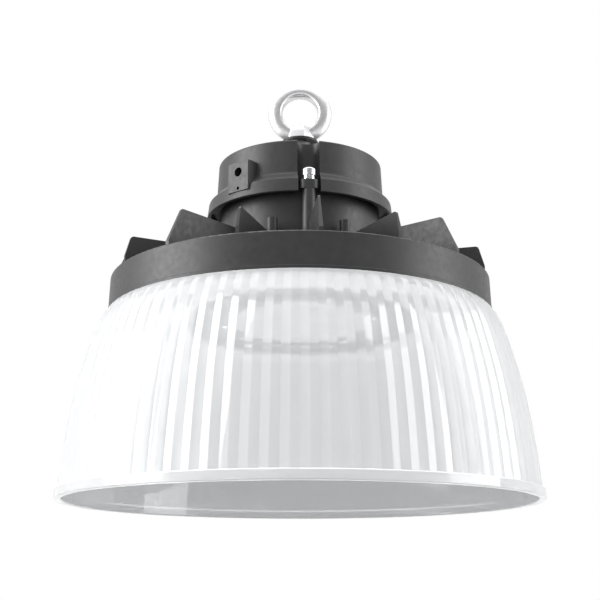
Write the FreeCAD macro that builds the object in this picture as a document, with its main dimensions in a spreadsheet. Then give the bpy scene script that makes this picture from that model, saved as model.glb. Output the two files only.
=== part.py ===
import FreeCAD, Part
import math
import os

import Sketcher

# Round LED high bay light, hung from a lifting eye.
# Millimetres and degrees. The origin is the centre of the shade's rim, +Z is up, the front is -Y.

DIMENSIONS = {
    # shade: heights are above the rim, radii are those of the flute crests
    "rim_radius": 190.0,
    "lip_height": 7.5,
    "lip_rounding": 1.4,
    "shade_top": 148.0,
    "crest_foot_radius": 188.0,
    "crest_foot_height": 6.0,
    "crest_low_radius": 184.5,
    "crest_low_height": 40.0,
    "crest_middle_radius": 178.3,
    "crest_middle_height": 80.0,
    "crest_high_radius": 168.3,
    "crest_high_height": 120.0,
    "crest_shoulder_radius": 161.0,
    "crest_shoulder_height": 140.0,
    "crest_top_radius": 155.4,
    "flute_count": 88,
    "flute_depth": 1.6,
    "shade_wall": 2.2,
    "shade_flange_thickness": 3.0,
    "shade_opening_radius": 118.0,
    # heat sink casting
    "band_radius_low": 155.0,
    "band_radius_top": 154.1,
    "band_wall": 4.0,
    "band_height": 28.0,
    "band_bead": 0.5,
    "band_bead_height": 2.0,
    "band_rounding": 1.2,
    "base_fillet": 2.5,
    "base_thickness": 8.0,
    "wall_sink": 2.0,
    "hub_radius_low": 64.0,
    "hub_radius_top": 66.0,
    "hub_wall": 4.0,
    "hub_height": 88.5,
    "fin_count": 8,
    "fin_thickness_low": 4.2,
    "fin_thickness_top": 1.6,
    "fin_rounding": 3.0,
    "tall_fin_peak_radius": 138.8,
    "tall_fin_height": 59.2,
    "short_fin_peak_radius": 147.5,
    "short_fin_height": 49.6,
    "fin_setback": 0.3,
    "fin_boss_radius": 4.2,
    "fin_boss_circle": 74.0,
    "fin_boss_rise": 14.0,
    "lead_hole_radius": 9.0,
    # station of the three housing screws
    "station_count": 3,
    "station_angle": 5.63,
    "station_circle": 72.0,
    "post_radius_low": 6.4,
    "post_radius_top": 5.2,
    "post_height": 87.0,
    "post_hole_depth": 14.0,
    # driver housing
    "skirt_drop": 5.8,
    "skirt_radius_low": 77.3,
    "skirt_radius_top": 75.9,
    "skirt_wall": 2.8,
    "skirt_height": 11.3,
    "flare_height": 6.0,
    "shelf_height": 4.3,
    "housing_radius_low": 69.4,
    "housing_radius_top": 68.0,
    "housing_height": 40.2,
    "housing_roof": 4.0,
    "housing_rounding": 1.5,
    "skirt_rounding": 0.8,
    "shelf_rounding": 2.0,
    "flare_rounding": 4.0,
    "cavity_radius_low": 62.6,
    "cavity_radius_top": 61.4,
    "seat_lip_radius": 60.6,
    "channel_width": 17.6,
    "channel_back_radius": 58.0,
    "channel_wall": 2.8,
    "channel_rounding": 8.0,
    "ear_width": 15.8,
    "ear_reach": 77.0,
    "ear_rounding": 6.0,
    "roof_boss_radius": 17.0,
    "roof_boss_height": 9.8,
    # bracket pads on the housing
    "pad_angle": -39.3,
    "pad_width": 22.4,
    "pad_reach": 77.3,
    "pad_inset": 2.7,
    "pad_height": 24.0,
    "pad_rounding": 1.0,
    "pad_hole_radius": 3.8,
    "pad_hole_depth": 9.0,
    "pad_hole_height": 16.0,
    "lock_hole_radius": 1.4,
    "lock_hole_depth": 4.0,
    "lock_hole_height": 2.4,
    # screws with a socket in the head
    "housing_screw_radius": 3.0,
    "housing_screw_head_radius": 5.0,
    "housing_screw_head_height": 6.0,
    "housing_screw_socket_radius": 2.9,
    "housing_screw_socket_depth": 3.0,
    "housing_screw_grip": 9.0,
    "housing_screw_chamfer": 0.6,
    "flat_washer_radius": 4.9,
    "flat_washer_thickness": 1.6,
    "spring_washer_radius": 4.6,
    "spring_washer_thickness": 2.0,
    "gasket_thickness": 1.5,
    "gasket_width": 3.0,
    # lifting eye
    "eye_ring_radius": 21.0,
    "eye_wire_radius": 6.0,
    "eye_collar_radius": 15.0,
    "eye_collar_edge": 1.6,
    "eye_collar_height": 6.0,
    "eye_collar_neck": 9.5,
    "eye_rise": 25.7,
    "eye_foot_width": 22.0,
    "eye_foot_depth": 15.0,
    "eye_foot_top_width": 15.4,
    "eye_foot_top_depth": 11.0,
    "eye_foot_height": 14.0,
    "eye_shank_radius": 6.0,
    "eye_shank_length": 44.0,
    "eye_seal_radius": 15.2,
    "eye_seal_thickness": 2.0,
    "eye_nut_flats": 18.0,
    "eye_nut_height": 10.8,
    "eye_washer_radius": 12.0,
    "eye_washer_thickness": 2.5,
    "shank_rounding": 1.2,
    # clamp ring and screws of the shade
    "shade_ring_thickness": 1.5,
    "shade_ring_margin": 1.5,
    "shade_ring_radius": 150.0,
    "shade_screw_count": 8,
    "shade_screw_circle": 135.0,
    "shade_screw_radius": 2.0,
    "shade_screw_head_radius": 3.8,
    "shade_screw_head_height": 2.6,
    "shade_screw_length": 9.0,
    # light engine
    "pocket_radius": 79.4,
    "pocket_depth": 4.0,
    "thermal_pad_thickness": 0.5,
    "board_margin": 0.8,
    "led_board_thickness": 1.6,
    "chip_side": 3.2,
    "chip_height": 0.7,
    "chip_ring_first": 18.0,
    "chip_ring_pitch": 17.6,
    "chip_ring_share": 6,
    "chip_ring_count": 4,
    "led_screw_count": 6,
    "led_screw_circle": 44.0,
    "led_screw_radius": 1.5,
    "led_screw_head_radius": 2.8,
    "led_screw_head_height": 1.7,
    "led_screw_length": 6.0,
    "lens_radius": 87.6,
    "lens_thickness": 2.0,
    "lens_gasket_radius": 80.8,
    "lens_gasket_width": 1.9,
    "lens_gasket_depth": 1.2,
    "lens_ring_radius": 89.4,
    "lens_ring_opening": 80.0,
    "lens_ring_thickness": 1.5,
    "lens_ring_rounding": 0.6,
    "lens_screw_count": 12,
    "lens_screw_circle": 85.3,
    "lens_screw_radius": 1.5,
    "lens_screw_head_radius": 2.6,
    "lens_screw_head_height": 1.7,
    "lens_screw_length": 8.0,
    # driver inside the hub
    "standoff_height": 20.0,
    "standoff_flats": 6.0,
    "standoff_circle": 46.0,
    "standoff_count": 4,
    "standoff_angle": 45.0,
    "driver_board_radius": 54.0,
    "driver_board_thickness": 1.6,
    "board_screw_radius": 1.5,
    "board_screw_head_radius": 2.8,
    "board_screw_head_height": 2.0,
    "board_screw_length": 6.0,
    "core_length": 36.0,
    "core_width": 16.0,
    "core_height": 30.0,
    "core_leg": 7.0,
    "winding_radius": 14.0,
    "transformer_offset": 18.0,
    "choke_radius": 12.0,
    "choke_hole_radius": 5.5,
    "choke_width": 11.0,
    "choke_offset": 30.0,
    "capacitor_radius": 9.0,
    "capacitor_height": 32.0,
    "capacitor_rounding": 1.5,
    "capacitor_offset": 25.0,
    "terminal_length": 22.0,
    "terminal_width": 12.0,
    "terminal_height": 14.0,
    "terminal_hole_radius": 2.6,
    "terminal_offset": 36.6,
    "lead_radius": 1.2,
    "lead_spacing": 6.0,
    # cable gland at the back
    "gland_height": 19.0,
    "gland_boss_radius": 14.0,
    "gland_boss_reach": 73.0,
    "gland_boss_inner": 58.5,
    "gland_thread_radius": 8.0,
    "gland_bore_radius": 5.2,
    "gland_flats": 22.0,
    "gland_flange_thickness": 5.0,
    "gland_stub_length": 8.0,
    "gland_stub_radius": 7.6,
    "gland_cap_length": 15.0,
    "gland_cap_mouth": 5.6,
    "gland_cap_rim": 2.0,
    "gland_cap_rounding": 1.5,
    "gland_dome_step": 0.3,
    "gland_seal_bore": 3.6,
    "gland_seal_inset": 1.0,
    "gland_seal_rise": 2.0,
    "gland_nut_thickness": 4.0,
    "gland_nut_flats": 21.0,
    # round heads of the small screws, as shares of the head radius
    "screw_crown_share": 0.75,
    "screw_recess_share": 0.33,
    "hole_tip_room": 1.5,
    # clearances
    "thread_play": 0.1,
    "hole_play": 0.3,
    "fit_play": 0.2,
}

SHEET_NAME = "dims"
PAST_FACE = 1
QUARTER_TURN = 90
FULL_TURN = 360
HALF_TURN = 180
AXIS_X = FreeCAD.Vector(1, 0, 0)
AXIS_Y = FreeCAD.Vector(0, 1, 0)
AXIS_Z = FreeCAD.Vector(0, 0, 1)

doc = FreeCAD.newDocument("high_bay_light")


# --------------------------------------------------------------------------------------------
# Sizes: a value together with the expression that ties it to the sheet
# --------------------------------------------------------------------------------------------


class Size:
    """A length, angle or count, with the expression that works it out from the sheet."""

    def __init__(self, value, text):
        self.value = value
        self.text = text

    def __add__(self, other):
        other = as_size(other)
        return Size(self.value + other.value, f"({self.text} + {other.text})")

    def __sub__(self, other):
        other = as_size(other)
        return Size(self.value - other.value, f"({self.text} - {other.text})")

    def __mul__(self, other):
        other = as_size(other)
        return Size(self.value * other.value, f"({self.text} * {other.text})")

    def __truediv__(self, other):
        other = as_size(other)
        return Size(self.value / other.value, f"({self.text} / {other.text})")

    def __neg__(self):
        return Size(-self.value, f"(0 - {self.text})")

    def __radd__(self, other):
        return as_size(other) + self

    def __rsub__(self, other):
        return as_size(other) - self

    def __rmul__(self, other):
        return as_size(other) * self


def as_size(item):
    """A Size as it is, or a plain number as a Size of its own."""
    if isinstance(item, Size):
        return item
    return Size(item, repr(item))


def cosine(angle):
    angle = as_size(angle)
    return Size(math.cos(math.radians(angle.value)), f"cos({angle.text} * 1 deg)")


def sine(angle):
    angle = as_size(angle)
    return Size(math.sin(math.radians(angle.value)), f"sin({angle.text} * 1 deg)")


def make_sheet():
    """The spreadsheet of driving dimensions, one named cell each."""
    sheet = doc.addObject("Spreadsheet::Sheet", SHEET_NAME)
    for row, (name, value) in enumerate(DIMENSIONS.items(), start=1):
        sheet.set(f"A{row}", name)
        sheet.set(f"B{row}", str(value))
        sheet.setAlias(f"B{row}", name)
    doc.recompute()
    return sheet


sheet = make_sheet()


class Sheet:
    """Gives each named cell of the sheet as a Size."""

    def __getattr__(self, name):
        return Size(getattr(sheet, name), f"{SHEET_NAME}.{name}")


d = Sheet()


def bind(item, path, size):
    """Ties one property of a document object to the sheet."""
    size = as_size(size)
    if SHEET_NAME in size.text:
        item.setExpression(path, size.text)


def set_size(item, name, size):
    """Sets a property to a size and ties it to the sheet."""
    setattr(item, name, as_size(size).value)
    bind(item, name, size)


# --------------------------------------------------------------------------------------------
# Bodies, sketches and features
# --------------------------------------------------------------------------------------------


def place(item, name, x=0, y=0, z=0, axis=AXIS_Z, angle=0):
    """Sets a placement property from sizes and ties each part of it to the sheet."""
    base = [as_size(value) for value in (x, y, z)]
    angle = as_size(angle)
    offset = FreeCAD.Vector(*[value.value for value in base])
    setattr(item, name, FreeCAD.Placement(offset, FreeCAD.Rotation(axis, angle.value)))
    for letter, value in zip("xyz", base):
        bind(item, f"{name}.Base.{letter}", value)
    bind(item, f"{name}.Rotation.Angle", angle)


def new_body(label, angle=0, z=0):
    """A body that may hold several like solids, turned about the upright axis."""
    body = doc.addObject("PartDesign::Body", label)
    body.Label = label
    body.AllowCompound = True
    place(body, "Placement", z=z, angle=angle)
    return body


def origin_of(body, role):
    """One of the body's own origin planes or axes."""
    for feature in body.Origin.OriginFeatures:
        if feature.Role == role:
            return feature
    raise ValueError(role)


def attach(item, body, role, **offset):
    item.AttachmentSupport = [(origin_of(body, role), "")]
    item.MapMode = "FlatFace"
    place(item, "AttachmentOffset", **offset)


def new_sketch(body, name, role, **offset):
    sketch = body.newObject("Sketcher::SketchObject", name)
    attach(sketch, body, role, **offset)
    return sketch


def fix_point(sketch, element, point, x, y):
    """Holds one point of the sketch at a distance from the sketch's origin."""
    for kind, size in (("DistanceX", as_size(x)), ("DistanceY", as_size(y))):
        index = sketch.addConstraint(
            Sketcher.Constraint(kind, -1, 1, element, point, size.value)
        )
        bind(sketch, f"Constraints[{index}]", size)


def corner_arc(before, corner, after, radius):
    """Where an arc of this radius starts, passes and ends between the two sides of a corner."""
    to_before = (before - corner).normalize()
    to_after = (after - corner).normalize()
    half = to_before.getAngle(to_after) / 2
    setback = radius / math.tan(half)
    middle_line = (to_before + to_after).normalize()
    centre = corner + middle_line * (radius / math.sin(half))
    return corner + to_before * setback, centre - middle_line * radius, corner + to_after * setback


def draw_outline(sketch, corners):
    """A closed outline of straight sides; a corner given as (x, y, radius) is rounded."""
    count = len(corners)
    places = [FreeCAD.Vector(as_size(c[0]).value, as_size(c[1]).value, 0) for c in corners]
    starts, ends, arcs = list(places), list(places), {}
    for i, corner in enumerate(corners):
        if len(corner) == 3:
            radius = as_size(corner[2]).value
            first, middle, last = corner_arc(places[i - 1], places[i], places[(i + 1) % count], radius)
            ends[i], starts[i] = first, last
            arcs[i] = (first, middle, last)
    sides = [
        sketch.addGeometry(Part.LineSegment(starts[i], ends[(i + 1) % count]), False)
        for i in range(count)
    ]
    for i, corner in enumerate(corners):
        side_before, side_after = sides[i - 1], sides[i]
        if i not in arcs:
            sketch.addConstraint(Sketcher.Constraint("Coincident", side_before, 2, side_after, 1))
            fix_point(sketch, side_after, 1, corner[0], corner[1])
            continue
        first = arcs[i][0]
        arc = sketch.addGeometry(Part.Arc(*arcs[i]), False)
        distances = [sketch.getPoint(arc, end).distanceToPoint(first) for end in (1, 2)]
        near, far = (1, 2) if distances[0] < distances[1] else (2, 1)
        sketch.addConstraint(Sketcher.Constraint("Tangent", side_before, 2, arc, near))
        sketch.addConstraint(Sketcher.Constraint("Tangent", side_after, 1, arc, far))
        index = sketch.addConstraint(
            Sketcher.Constraint("Radius", arc, as_size(corner[2]).value)
        )
        bind(sketch, f"Constraints[{index}]", corner[2])
        point = sketch.addGeometry(Part.Point(places[i]), True)
        sketch.addConstraint(Sketcher.Constraint("PointOnObject", point, 1, side_before))
        sketch.addConstraint(Sketcher.Constraint("PointOnObject", point, 1, side_after))
        fix_point(sketch, point, 1, corner[0], corner[1])


def finish_feature(body, feature, before, cut):
    """Recomputes a feature and sees that it added or took away material."""
    doc.recompute()
    volume = body.Shape.Volume
    if cut and not volume < before - 1e-3:
        raise ValueError(f"{feature.Label} cuts nothing")
    if not cut and not volume > before + 1e-3:
        raise ValueError(f"{feature.Label} adds nothing")
    return feature


def volume_of(body):
    return 0 if body.Shape.isNull() else body.Shape.Volume


def turn(body, name, corners, cut=False, **offset):
    """Turns an outline about the upright axis of its own sketch."""
    before = volume_of(body)
    sketch = new_sketch(body, f"{name}_outline", "XZ_Plane", **offset)
    draw_outline(sketch, corners)
    doc.recompute()
    kind = "PartDesign::Groove" if cut else "PartDesign::Revolution"
    feature = body.newObject(kind, name)
    feature.Profile = sketch
    feature.ReferenceAxis = (sketch, ["V_Axis"])
    feature.Angle = FULL_TURN
    return finish_feature(body, feature, before, cut)


def extrude(body, name, sketch, length, cut=False, both_ways=False, reverse=False):
    """Pads a sketch, or pockets it, along its normal."""
    before = volume_of(body)
    doc.recompute()
    feature = body.newObject("PartDesign::Pocket" if cut else "PartDesign::Pad", name)
    feature.Profile = sketch
    set_size(feature, "Length", length)
    feature.Midplane = both_ways
    feature.Reversed = reverse
    return finish_feature(body, feature, before, cut)


def primitive(body, name, form, role, offset, sizes, cut=False):
    """An additive or subtractive box, cylinder, cone or prism, standing on an origin plane."""
    before = volume_of(body)
    kind = "Subtractive" if cut else "Additive"
    feature = body.newObject(f"PartDesign::{kind}{form}", name)
    attach(feature, body, role, **offset)
    for size_name, size in sizes.items():
        set_size(feature, size_name, size)
    return finish_feature(body, feature, before, cut)


def cylinder(body, name, radius, height, cut=False, role="XY_Plane", **offset):
    return primitive(body, name, "Cylinder", role, offset, {"Radius": radius, "Height": height}, cut)


def hexagon(body, name, flats, height, cut=False, **offset):
    sizes = {"Circumradius": flats / math.sqrt(3), "Height": height}
    return primitive(body, name, "Prism", "XY_Plane", offset, sizes, cut)


def repeat(body, name, features, count):
    """Repeats features evenly about the upright axis."""
    pattern = body.newObject("PartDesign::PolarPattern", name)
    pattern.Originals = features
    pattern.Axis = (origin_of(body, "Z_Axis"), [""])
    pattern.Angle = FULL_TURN
    pattern.Occurrences = int(as_size(count).value)
    bind(pattern, "Occurrences", count)
    body.Tip = pattern
    doc.recompute()
    return pattern


def plain_ring(label, inner, outer, low, high, angle=0):
    """A flat ring or a disc."""
    body = new_body(label, angle)
    corners = [(inner, low), (outer, low), (outer, high), (inner, high)]
    turn(body, f"{label}_disc", corners)
    return body


def ring_screws(label, count, circle, seat, angle, head, head_height, shank, length, down=True):
    """Headed screws on a circle; each head lies below its seat and the shank runs up, or turned over."""
    body = new_body(label, angle)
    way = -1 if down else 1
    face = seat + head_height * way
    shoulder = seat + head_height * way / 2
    recess_floor = seat + head_height * way / 3
    tip = seat - length * way
    corners = [
        (0, tip),
        (shank, tip),
        (shank, seat),
        (head, seat),
        (head, shoulder),
        (head * d.screw_crown_share, face),
        (head * d.screw_recess_share, face),
        (0, recess_floor),
    ]
    screw = turn(body, f"{label}_shape", corners, x=circle)
    repeat(body, f"{label}_all", [screw], count)
    return body


# --------------------------------------------------------------------------------------------
# Heights that several pieces share
# --------------------------------------------------------------------------------------------

BASE_LOW = d.shade_top
BASE_TOP = BASE_LOW + d.base_thickness
POCKET_ROOF = BASE_LOW + d.pocket_depth
BAND_TOP = BASE_LOW + d.band_height
HUB_TOP = BASE_LOW + d.hub_height
SEAT = HUB_TOP + d.gasket_thickness
SKIRT_LOW = SEAT - d.skirt_drop
SKIRT_TOP = SKIRT_LOW + d.skirt_height
FLARE_TOP = SKIRT_TOP + d.flare_height
ROOF_TOP = SEAT + d.housing_height
ROOF_LOW = ROOF_TOP - d.housing_roof
ROOF_BOSS_TOP = ROOF_TOP + d.roof_boss_height
CLAMP_SEAT = BASE_LOW - d.shade_flange_thickness
RING_LOW = CLAMP_SEAT - d.shade_ring_thickness
LENS_LOW = BASE_LOW - d.lens_thickness
LENS_RING_LOW = LENS_LOW - d.lens_ring_thickness
PAD_LOW = POCKET_ROOF - d.thermal_pad_thickness
LED_BOARD_LOW = PAD_LOW - d.led_board_thickness
BOARD_RADIUS = d.pocket_radius - d.board_margin
DRIVER_BOARD_LOW = BASE_TOP + d.standoff_height
DRIVER_BOARD_TOP = DRIVER_BOARD_LOW + d.driver_board_thickness
FRONT_TURN = d.station_angle - QUARTER_TURN
EYE_WASHER_TOP = ROOF_BOSS_TOP + d.eye_washer_thickness
EYE_NUT_TOP = EYE_WASHER_TOP + d.eye_nut_height
EYE_COLLAR_LOW = EYE_NUT_TOP + d.eye_seal_thickness
GLAND_Z = SEAT + d.gland_height
WALL_ROOT = BASE_TOP - d.wall_sink
POST_TOP = BASE_LOW + d.post_height
POST_HEIGHT = POST_TOP - WALL_ROOT
CHANNEL_FLOOR = SEAT + d.shelf_height


# --------------------------------------------------------------------------------------------
# Heat sink: band, base, hub, fins, posts and bosses in one casting
# --------------------------------------------------------------------------------------------


def make_heat_sink():
    body = new_body("heat_sink", FRONT_TURN)
    base_and_band(body)
    hub(body)
    fins(body, "tall_fin", d.tall_fin_peak_radius, BASE_LOW + d.tall_fin_height, 0)
    half_pitch = as_size(FULL_TURN) / d.fin_count / 2
    fins(body, "short_fin", d.short_fin_peak_radius, BASE_LOW + d.short_fin_height, half_pitch)
    fin_bosses(body, half_pitch)
    posts(body)
    underside_holes(body)
    return body


def base_and_band(body):
    bead = d.band_radius_low + d.band_bead
    bead_top = BASE_LOW + d.band_bead_height
    corners = [
        (0, POCKET_ROOF),
        (d.pocket_radius, POCKET_ROOF),
        (d.pocket_radius, BASE_LOW),
        (bead, BASE_LOW),
        (bead, bead_top),
        (d.band_radius_low, bead_top + d.band_bead),
        (d.band_radius_top, BAND_TOP, d.band_rounding),
        (d.band_radius_top - d.band_wall, BAND_TOP, d.band_rounding),
        (d.band_radius_low - d.band_wall, BASE_TOP, d.base_fillet),
        (0, BASE_TOP),
    ]
    turn(body, "base_and_band", corners)


def hub(body):
    corners = [
        (d.hub_radius_low - d.hub_wall, WALL_ROOT),
        (d.hub_radius_low, WALL_ROOT),
        (d.hub_radius_top, HUB_TOP),
        (d.hub_radius_top - d.hub_wall, HUB_TOP),
    ]
    turn(body, "hub", corners)


def fins(body, name, peak_radius, peak_height, angle):
    """Upright radial fins, thinner towards the top, each with a sloping outer edge."""
    root_radius = d.hub_radius_low - d.hub_wall / 2
    wall_middle = d.band_radius_top - d.band_wall / 2
    section = new_sketch(
        body, f"{name}_section", "YZ_Plane", x=root_radius * sine(angle), z=root_radius * cosine(angle),
        axis=AXIS_Y, angle=angle,
    )
    low, top = d.fin_thickness_low / 2, d.fin_thickness_top / 2
    draw_outline(section, [(-low, WALL_ROOT), (low, WALL_ROOT), (top, peak_height), (-top, peak_height)])
    fin = extrude(body, name, section, wall_middle - root_radius)
    foot_radius = d.band_radius_top - d.fin_setback
    beyond = d.band_radius_low + d.fin_rounding
    outside = new_sketch(body, f"{name}_outside", "XZ_Plane", axis=AXIS_Y, angle=angle)
    corners = [
        (foot_radius, BAND_TOP - d.fin_setback),
        (peak_radius, peak_height, d.fin_rounding),
        (root_radius, peak_height),
        (root_radius, peak_height + PAST_FACE),
        (beyond, peak_height + PAST_FACE),
        (beyond, BAND_TOP - d.fin_setback),
    ]
    draw_outline(outside, corners)
    slope = extrude(body, f"{name}_slope", outside, d.fin_thickness_low * 2, cut=True, both_ways=True)
    repeat(body, f"{name}s", [fin, slope], d.fin_count)


def fin_bosses(body, angle):
    """Round ejector bosses on the short fins, a little higher than the fins."""
    height = d.short_fin_height + d.fin_boss_rise - d.base_thickness
    x = d.fin_boss_circle * cosine(angle)
    y = d.fin_boss_circle * sine(angle)
    boss = cylinder(body, "fin_boss", d.fin_boss_radius, height, x=x, y=y, z=BASE_TOP)
    repeat(body, "fin_bosses", [boss], d.fin_count)


def posts(body):
    """Tapered posts that carry the driver housing, each drilled for its screw."""
    sizes = {"Radius1": d.post_radius_low, "Radius2": d.post_radius_top, "Height": POST_HEIGHT}
    post = primitive(body, "post", "Cone", "XY_Plane", {"x": d.station_circle, "z": WALL_ROOT}, sizes)
    hole_radius = d.housing_screw_radius + d.thread_play
    hole_low = POST_TOP - d.post_hole_depth
    hole = cylinder(
        body, "post_hole", hole_radius, d.post_hole_depth, cut=True, x=d.station_circle, z=hole_low
    )
    repeat(body, "posts", [post, hole], d.station_count)


def drilled(body, name, radius, depth, circle, count, z):
    """Blind holes on a circle, drilled upwards from a face."""
    hole = cylinder(body, name, radius, depth, cut=True, x=circle, z=z)
    repeat(body, f"{name}s", [hole], count)


def underside_holes(body):
    cylinder(body, "lead_hole", d.lead_hole_radius, d.base_thickness + PAST_FACE, cut=True, z=BASE_LOW)
    play = d.thread_play
    shade_depth = RING_LOW + d.shade_screw_length - BASE_LOW + d.hole_tip_room
    lens_depth = LENS_RING_LOW + d.lens_screw_length - BASE_LOW + d.hole_tip_room
    through = BASE_TOP - POCKET_ROOF + PAST_FACE
    low = BASE_LOW
    rows = (
        ("shade_hole", d.shade_screw_radius, shade_depth, d.shade_screw_circle, d.shade_screw_count, low),
        ("lens_hole", d.lens_screw_radius, lens_depth, d.lens_screw_circle, d.lens_screw_count, low),
        ("led_hole", d.led_screw_radius, through, d.led_screw_circle, d.led_screw_count, POCKET_ROOF),
    )
    for name, radius, depth, circle, count, face in rows:
        drilled(body, name, radius + play, depth, circle, count, face)
    groove_outer = d.lens_gasket_radius + d.lens_gasket_width
    corners = [
        (d.lens_gasket_radius - d.fit_play, BASE_LOW - PAST_FACE),
        (groove_outer + d.fit_play, BASE_LOW - PAST_FACE),
        (groove_outer + d.fit_play, BASE_LOW + d.lens_gasket_depth),
        (d.lens_gasket_radius - d.fit_play, BASE_LOW + d.lens_gasket_depth),
    ]
    turn(body, "gasket_groove", corners, cut=True)


# --------------------------------------------------------------------------------------------
# Driver housing: a cap with a flange, screw channels, ears and bracket pads
# --------------------------------------------------------------------------------------------


def make_driver_housing():
    body = new_body("driver_housing", FRONT_TURN)
    housing_shell(body)
    gland_boss(body)
    bracket_pads(body)
    screw_channels(body)
    depth = ROOF_BOSS_TOP - SEAT
    cylinder(body, "eye_hole", d.eye_shank_radius + d.thread_play, depth, cut=True, z=SEAT)
    return body


def housing_shell(body):
    corners = [
        (0, SEAT),
        (d.skirt_radius_low - d.skirt_wall, SEAT),
        (d.skirt_radius_low - d.skirt_wall, SKIRT_LOW),
        (d.skirt_radius_low, SKIRT_LOW, d.skirt_rounding),
        (d.skirt_radius_top, SKIRT_TOP, d.shelf_rounding),
        (d.housing_radius_low, FLARE_TOP, d.flare_rounding),
        (d.housing_radius_top, ROOF_TOP, d.housing_rounding),
        (d.roof_boss_radius, ROOF_TOP),
        (d.roof_boss_radius, ROOF_BOSS_TOP, d.housing_rounding),
        (0, ROOF_BOSS_TOP),
    ]
    turn(body, "shell", corners)
    cavity = [
        (0, SEAT - PAST_FACE),
        (d.seat_lip_radius, SEAT - PAST_FACE),
        (d.seat_lip_radius, CHANNEL_FLOOR),
        (d.cavity_radius_low, FLARE_TOP),
        (d.cavity_radius_top, ROOF_LOW, d.housing_rounding),
        (0, ROOF_LOW),
    ]
    turn(body, "cavity", cavity, cut=True)


def gland_boss(body):
    """A flat round boss at the back, bored for the cable gland."""
    angle = QUARTER_TURN - FRONT_TURN
    length = d.gland_boss_reach - d.gland_boss_inner
    x = d.gland_boss_inner * sine(angle)
    z = d.gland_boss_inner * cosine(angle)
    offset = {"x": x, "y": GLAND_Z, "z": z, "axis": AXIS_Y, "angle": angle}
    cylinder(body, "gland_boss", d.gland_boss_radius, length, role="YZ_Plane", **offset)
    bore = d.gland_thread_radius + d.thread_play
    through = d.gland_boss_reach + PAST_FACE
    cylinder(
        body, "gland_hole", bore, through, cut=True, role="YZ_Plane", y=GLAND_Z, axis=AXIS_Y, angle=angle
    )


def bracket_pads(body):
    """Two opposite flat pads, each with a blind bolt hole and a small lock hole."""
    inner = d.housing_radius_low - d.pad_inset
    for side in range(2):
        angle = d.pad_angle - d.station_angle + HALF_TURN * side
        sketch = new_sketch(body, f"pad_outline_{side}", "XY_Plane", z=SEAT, angle=angle)
        half = d.pad_width / 2
        corners = [
            (inner, -half),
            (d.pad_reach, -half, d.pad_rounding),
            (d.pad_reach, half, d.pad_rounding),
            (inner, half),
        ]
        draw_outline(sketch, corners)
        extrude(body, f"pad_{side}", sketch, d.pad_height)
        holes = (
            ("bolt_hole", d.pad_hole_radius, d.pad_hole_depth, SEAT + d.pad_hole_height),
            ("lock_hole", d.lock_hole_radius, d.lock_hole_depth, SEAT + d.lock_hole_height),
        )
        for name, radius, depth, height in holes:
            start = d.pad_reach - depth
            x = start * sine(angle)
            z = start * cosine(angle)
            offset = {"x": x, "y": height, "z": z, "axis": AXIS_Y, "angle": angle}
            cylinder(body, f"{name}_{side}", radius, depth * 2, cut=True, role="YZ_Plane", **offset)


def upright_block(body, name, low, high, corners, cut=False):
    """Fills, or cuts, the space over a plan outline between two heights."""
    sketch = new_sketch(body, f"{name}_outline", "XY_Plane", z=low)
    draw_outline(sketch, corners)
    return extrude(body, name, sketch, high - low, cut=cut, reverse=cut)


def screw_channels(body):
    """Channels down the wall, lined inside, with an ear for the screw at the foot of each."""
    half = d.channel_width / 2
    back = d.channel_back_radius
    rounding = d.channel_rounding
    beyond = d.skirt_radius_low + half
    lining_back = back - d.channel_wall
    lining_half = half + d.channel_wall
    lining = [
        (lining_back, -lining_half, rounding + d.channel_wall),
        (d.cavity_radius_low, -lining_half),
        (d.cavity_radius_low, lining_half),
        (lining_back, lining_half, rounding + d.channel_wall),
    ]
    channel = [(back, -half, rounding), (beyond, -half), (beyond, half), (back, half, rounding)]
    ear_half = d.ear_width / 2
    ear_root = d.hub_radius_top + d.hole_play
    ear = [
        (ear_root, -ear_half),
        (d.ear_reach, -ear_half, d.ear_rounding),
        (d.ear_reach, ear_half, d.ear_rounding),
        (ear_root, ear_half),
    ]
    foot_back = ear_root + PAST_FACE
    foot = [(foot_back, -half), (beyond, -half), (beyond, half), (foot_back, half)]
    count = d.station_count
    wall = upright_block(body, "channel_lining", SEAT, ROOF_LOW, lining)
    repeat(body, "channel_linings", [wall], count)
    upper = upright_block(body, "channel", CHANNEL_FLOOR, ROOF_TOP + PAST_FACE, channel, cut=True)
    lower = upright_block(body, "channel_foot", SKIRT_LOW - PAST_FACE, CHANNEL_FLOOR, foot, cut=True)
    repeat(body, "channels", [upper, lower], count)
    lug = upright_block(body, "ear", POST_TOP, CHANNEL_FLOOR, ear)
    repeat(body, "ears", [lug], count)
    play = d.hole_play
    depth = CHANNEL_FLOOR - POST_TOP
    x = d.station_circle
    hole = cylinder(body, "screw_hole", d.housing_screw_radius + play, depth, cut=True, x=x, z=POST_TOP)
    repeat(body, "screw_holes", [hole], count)


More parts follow.
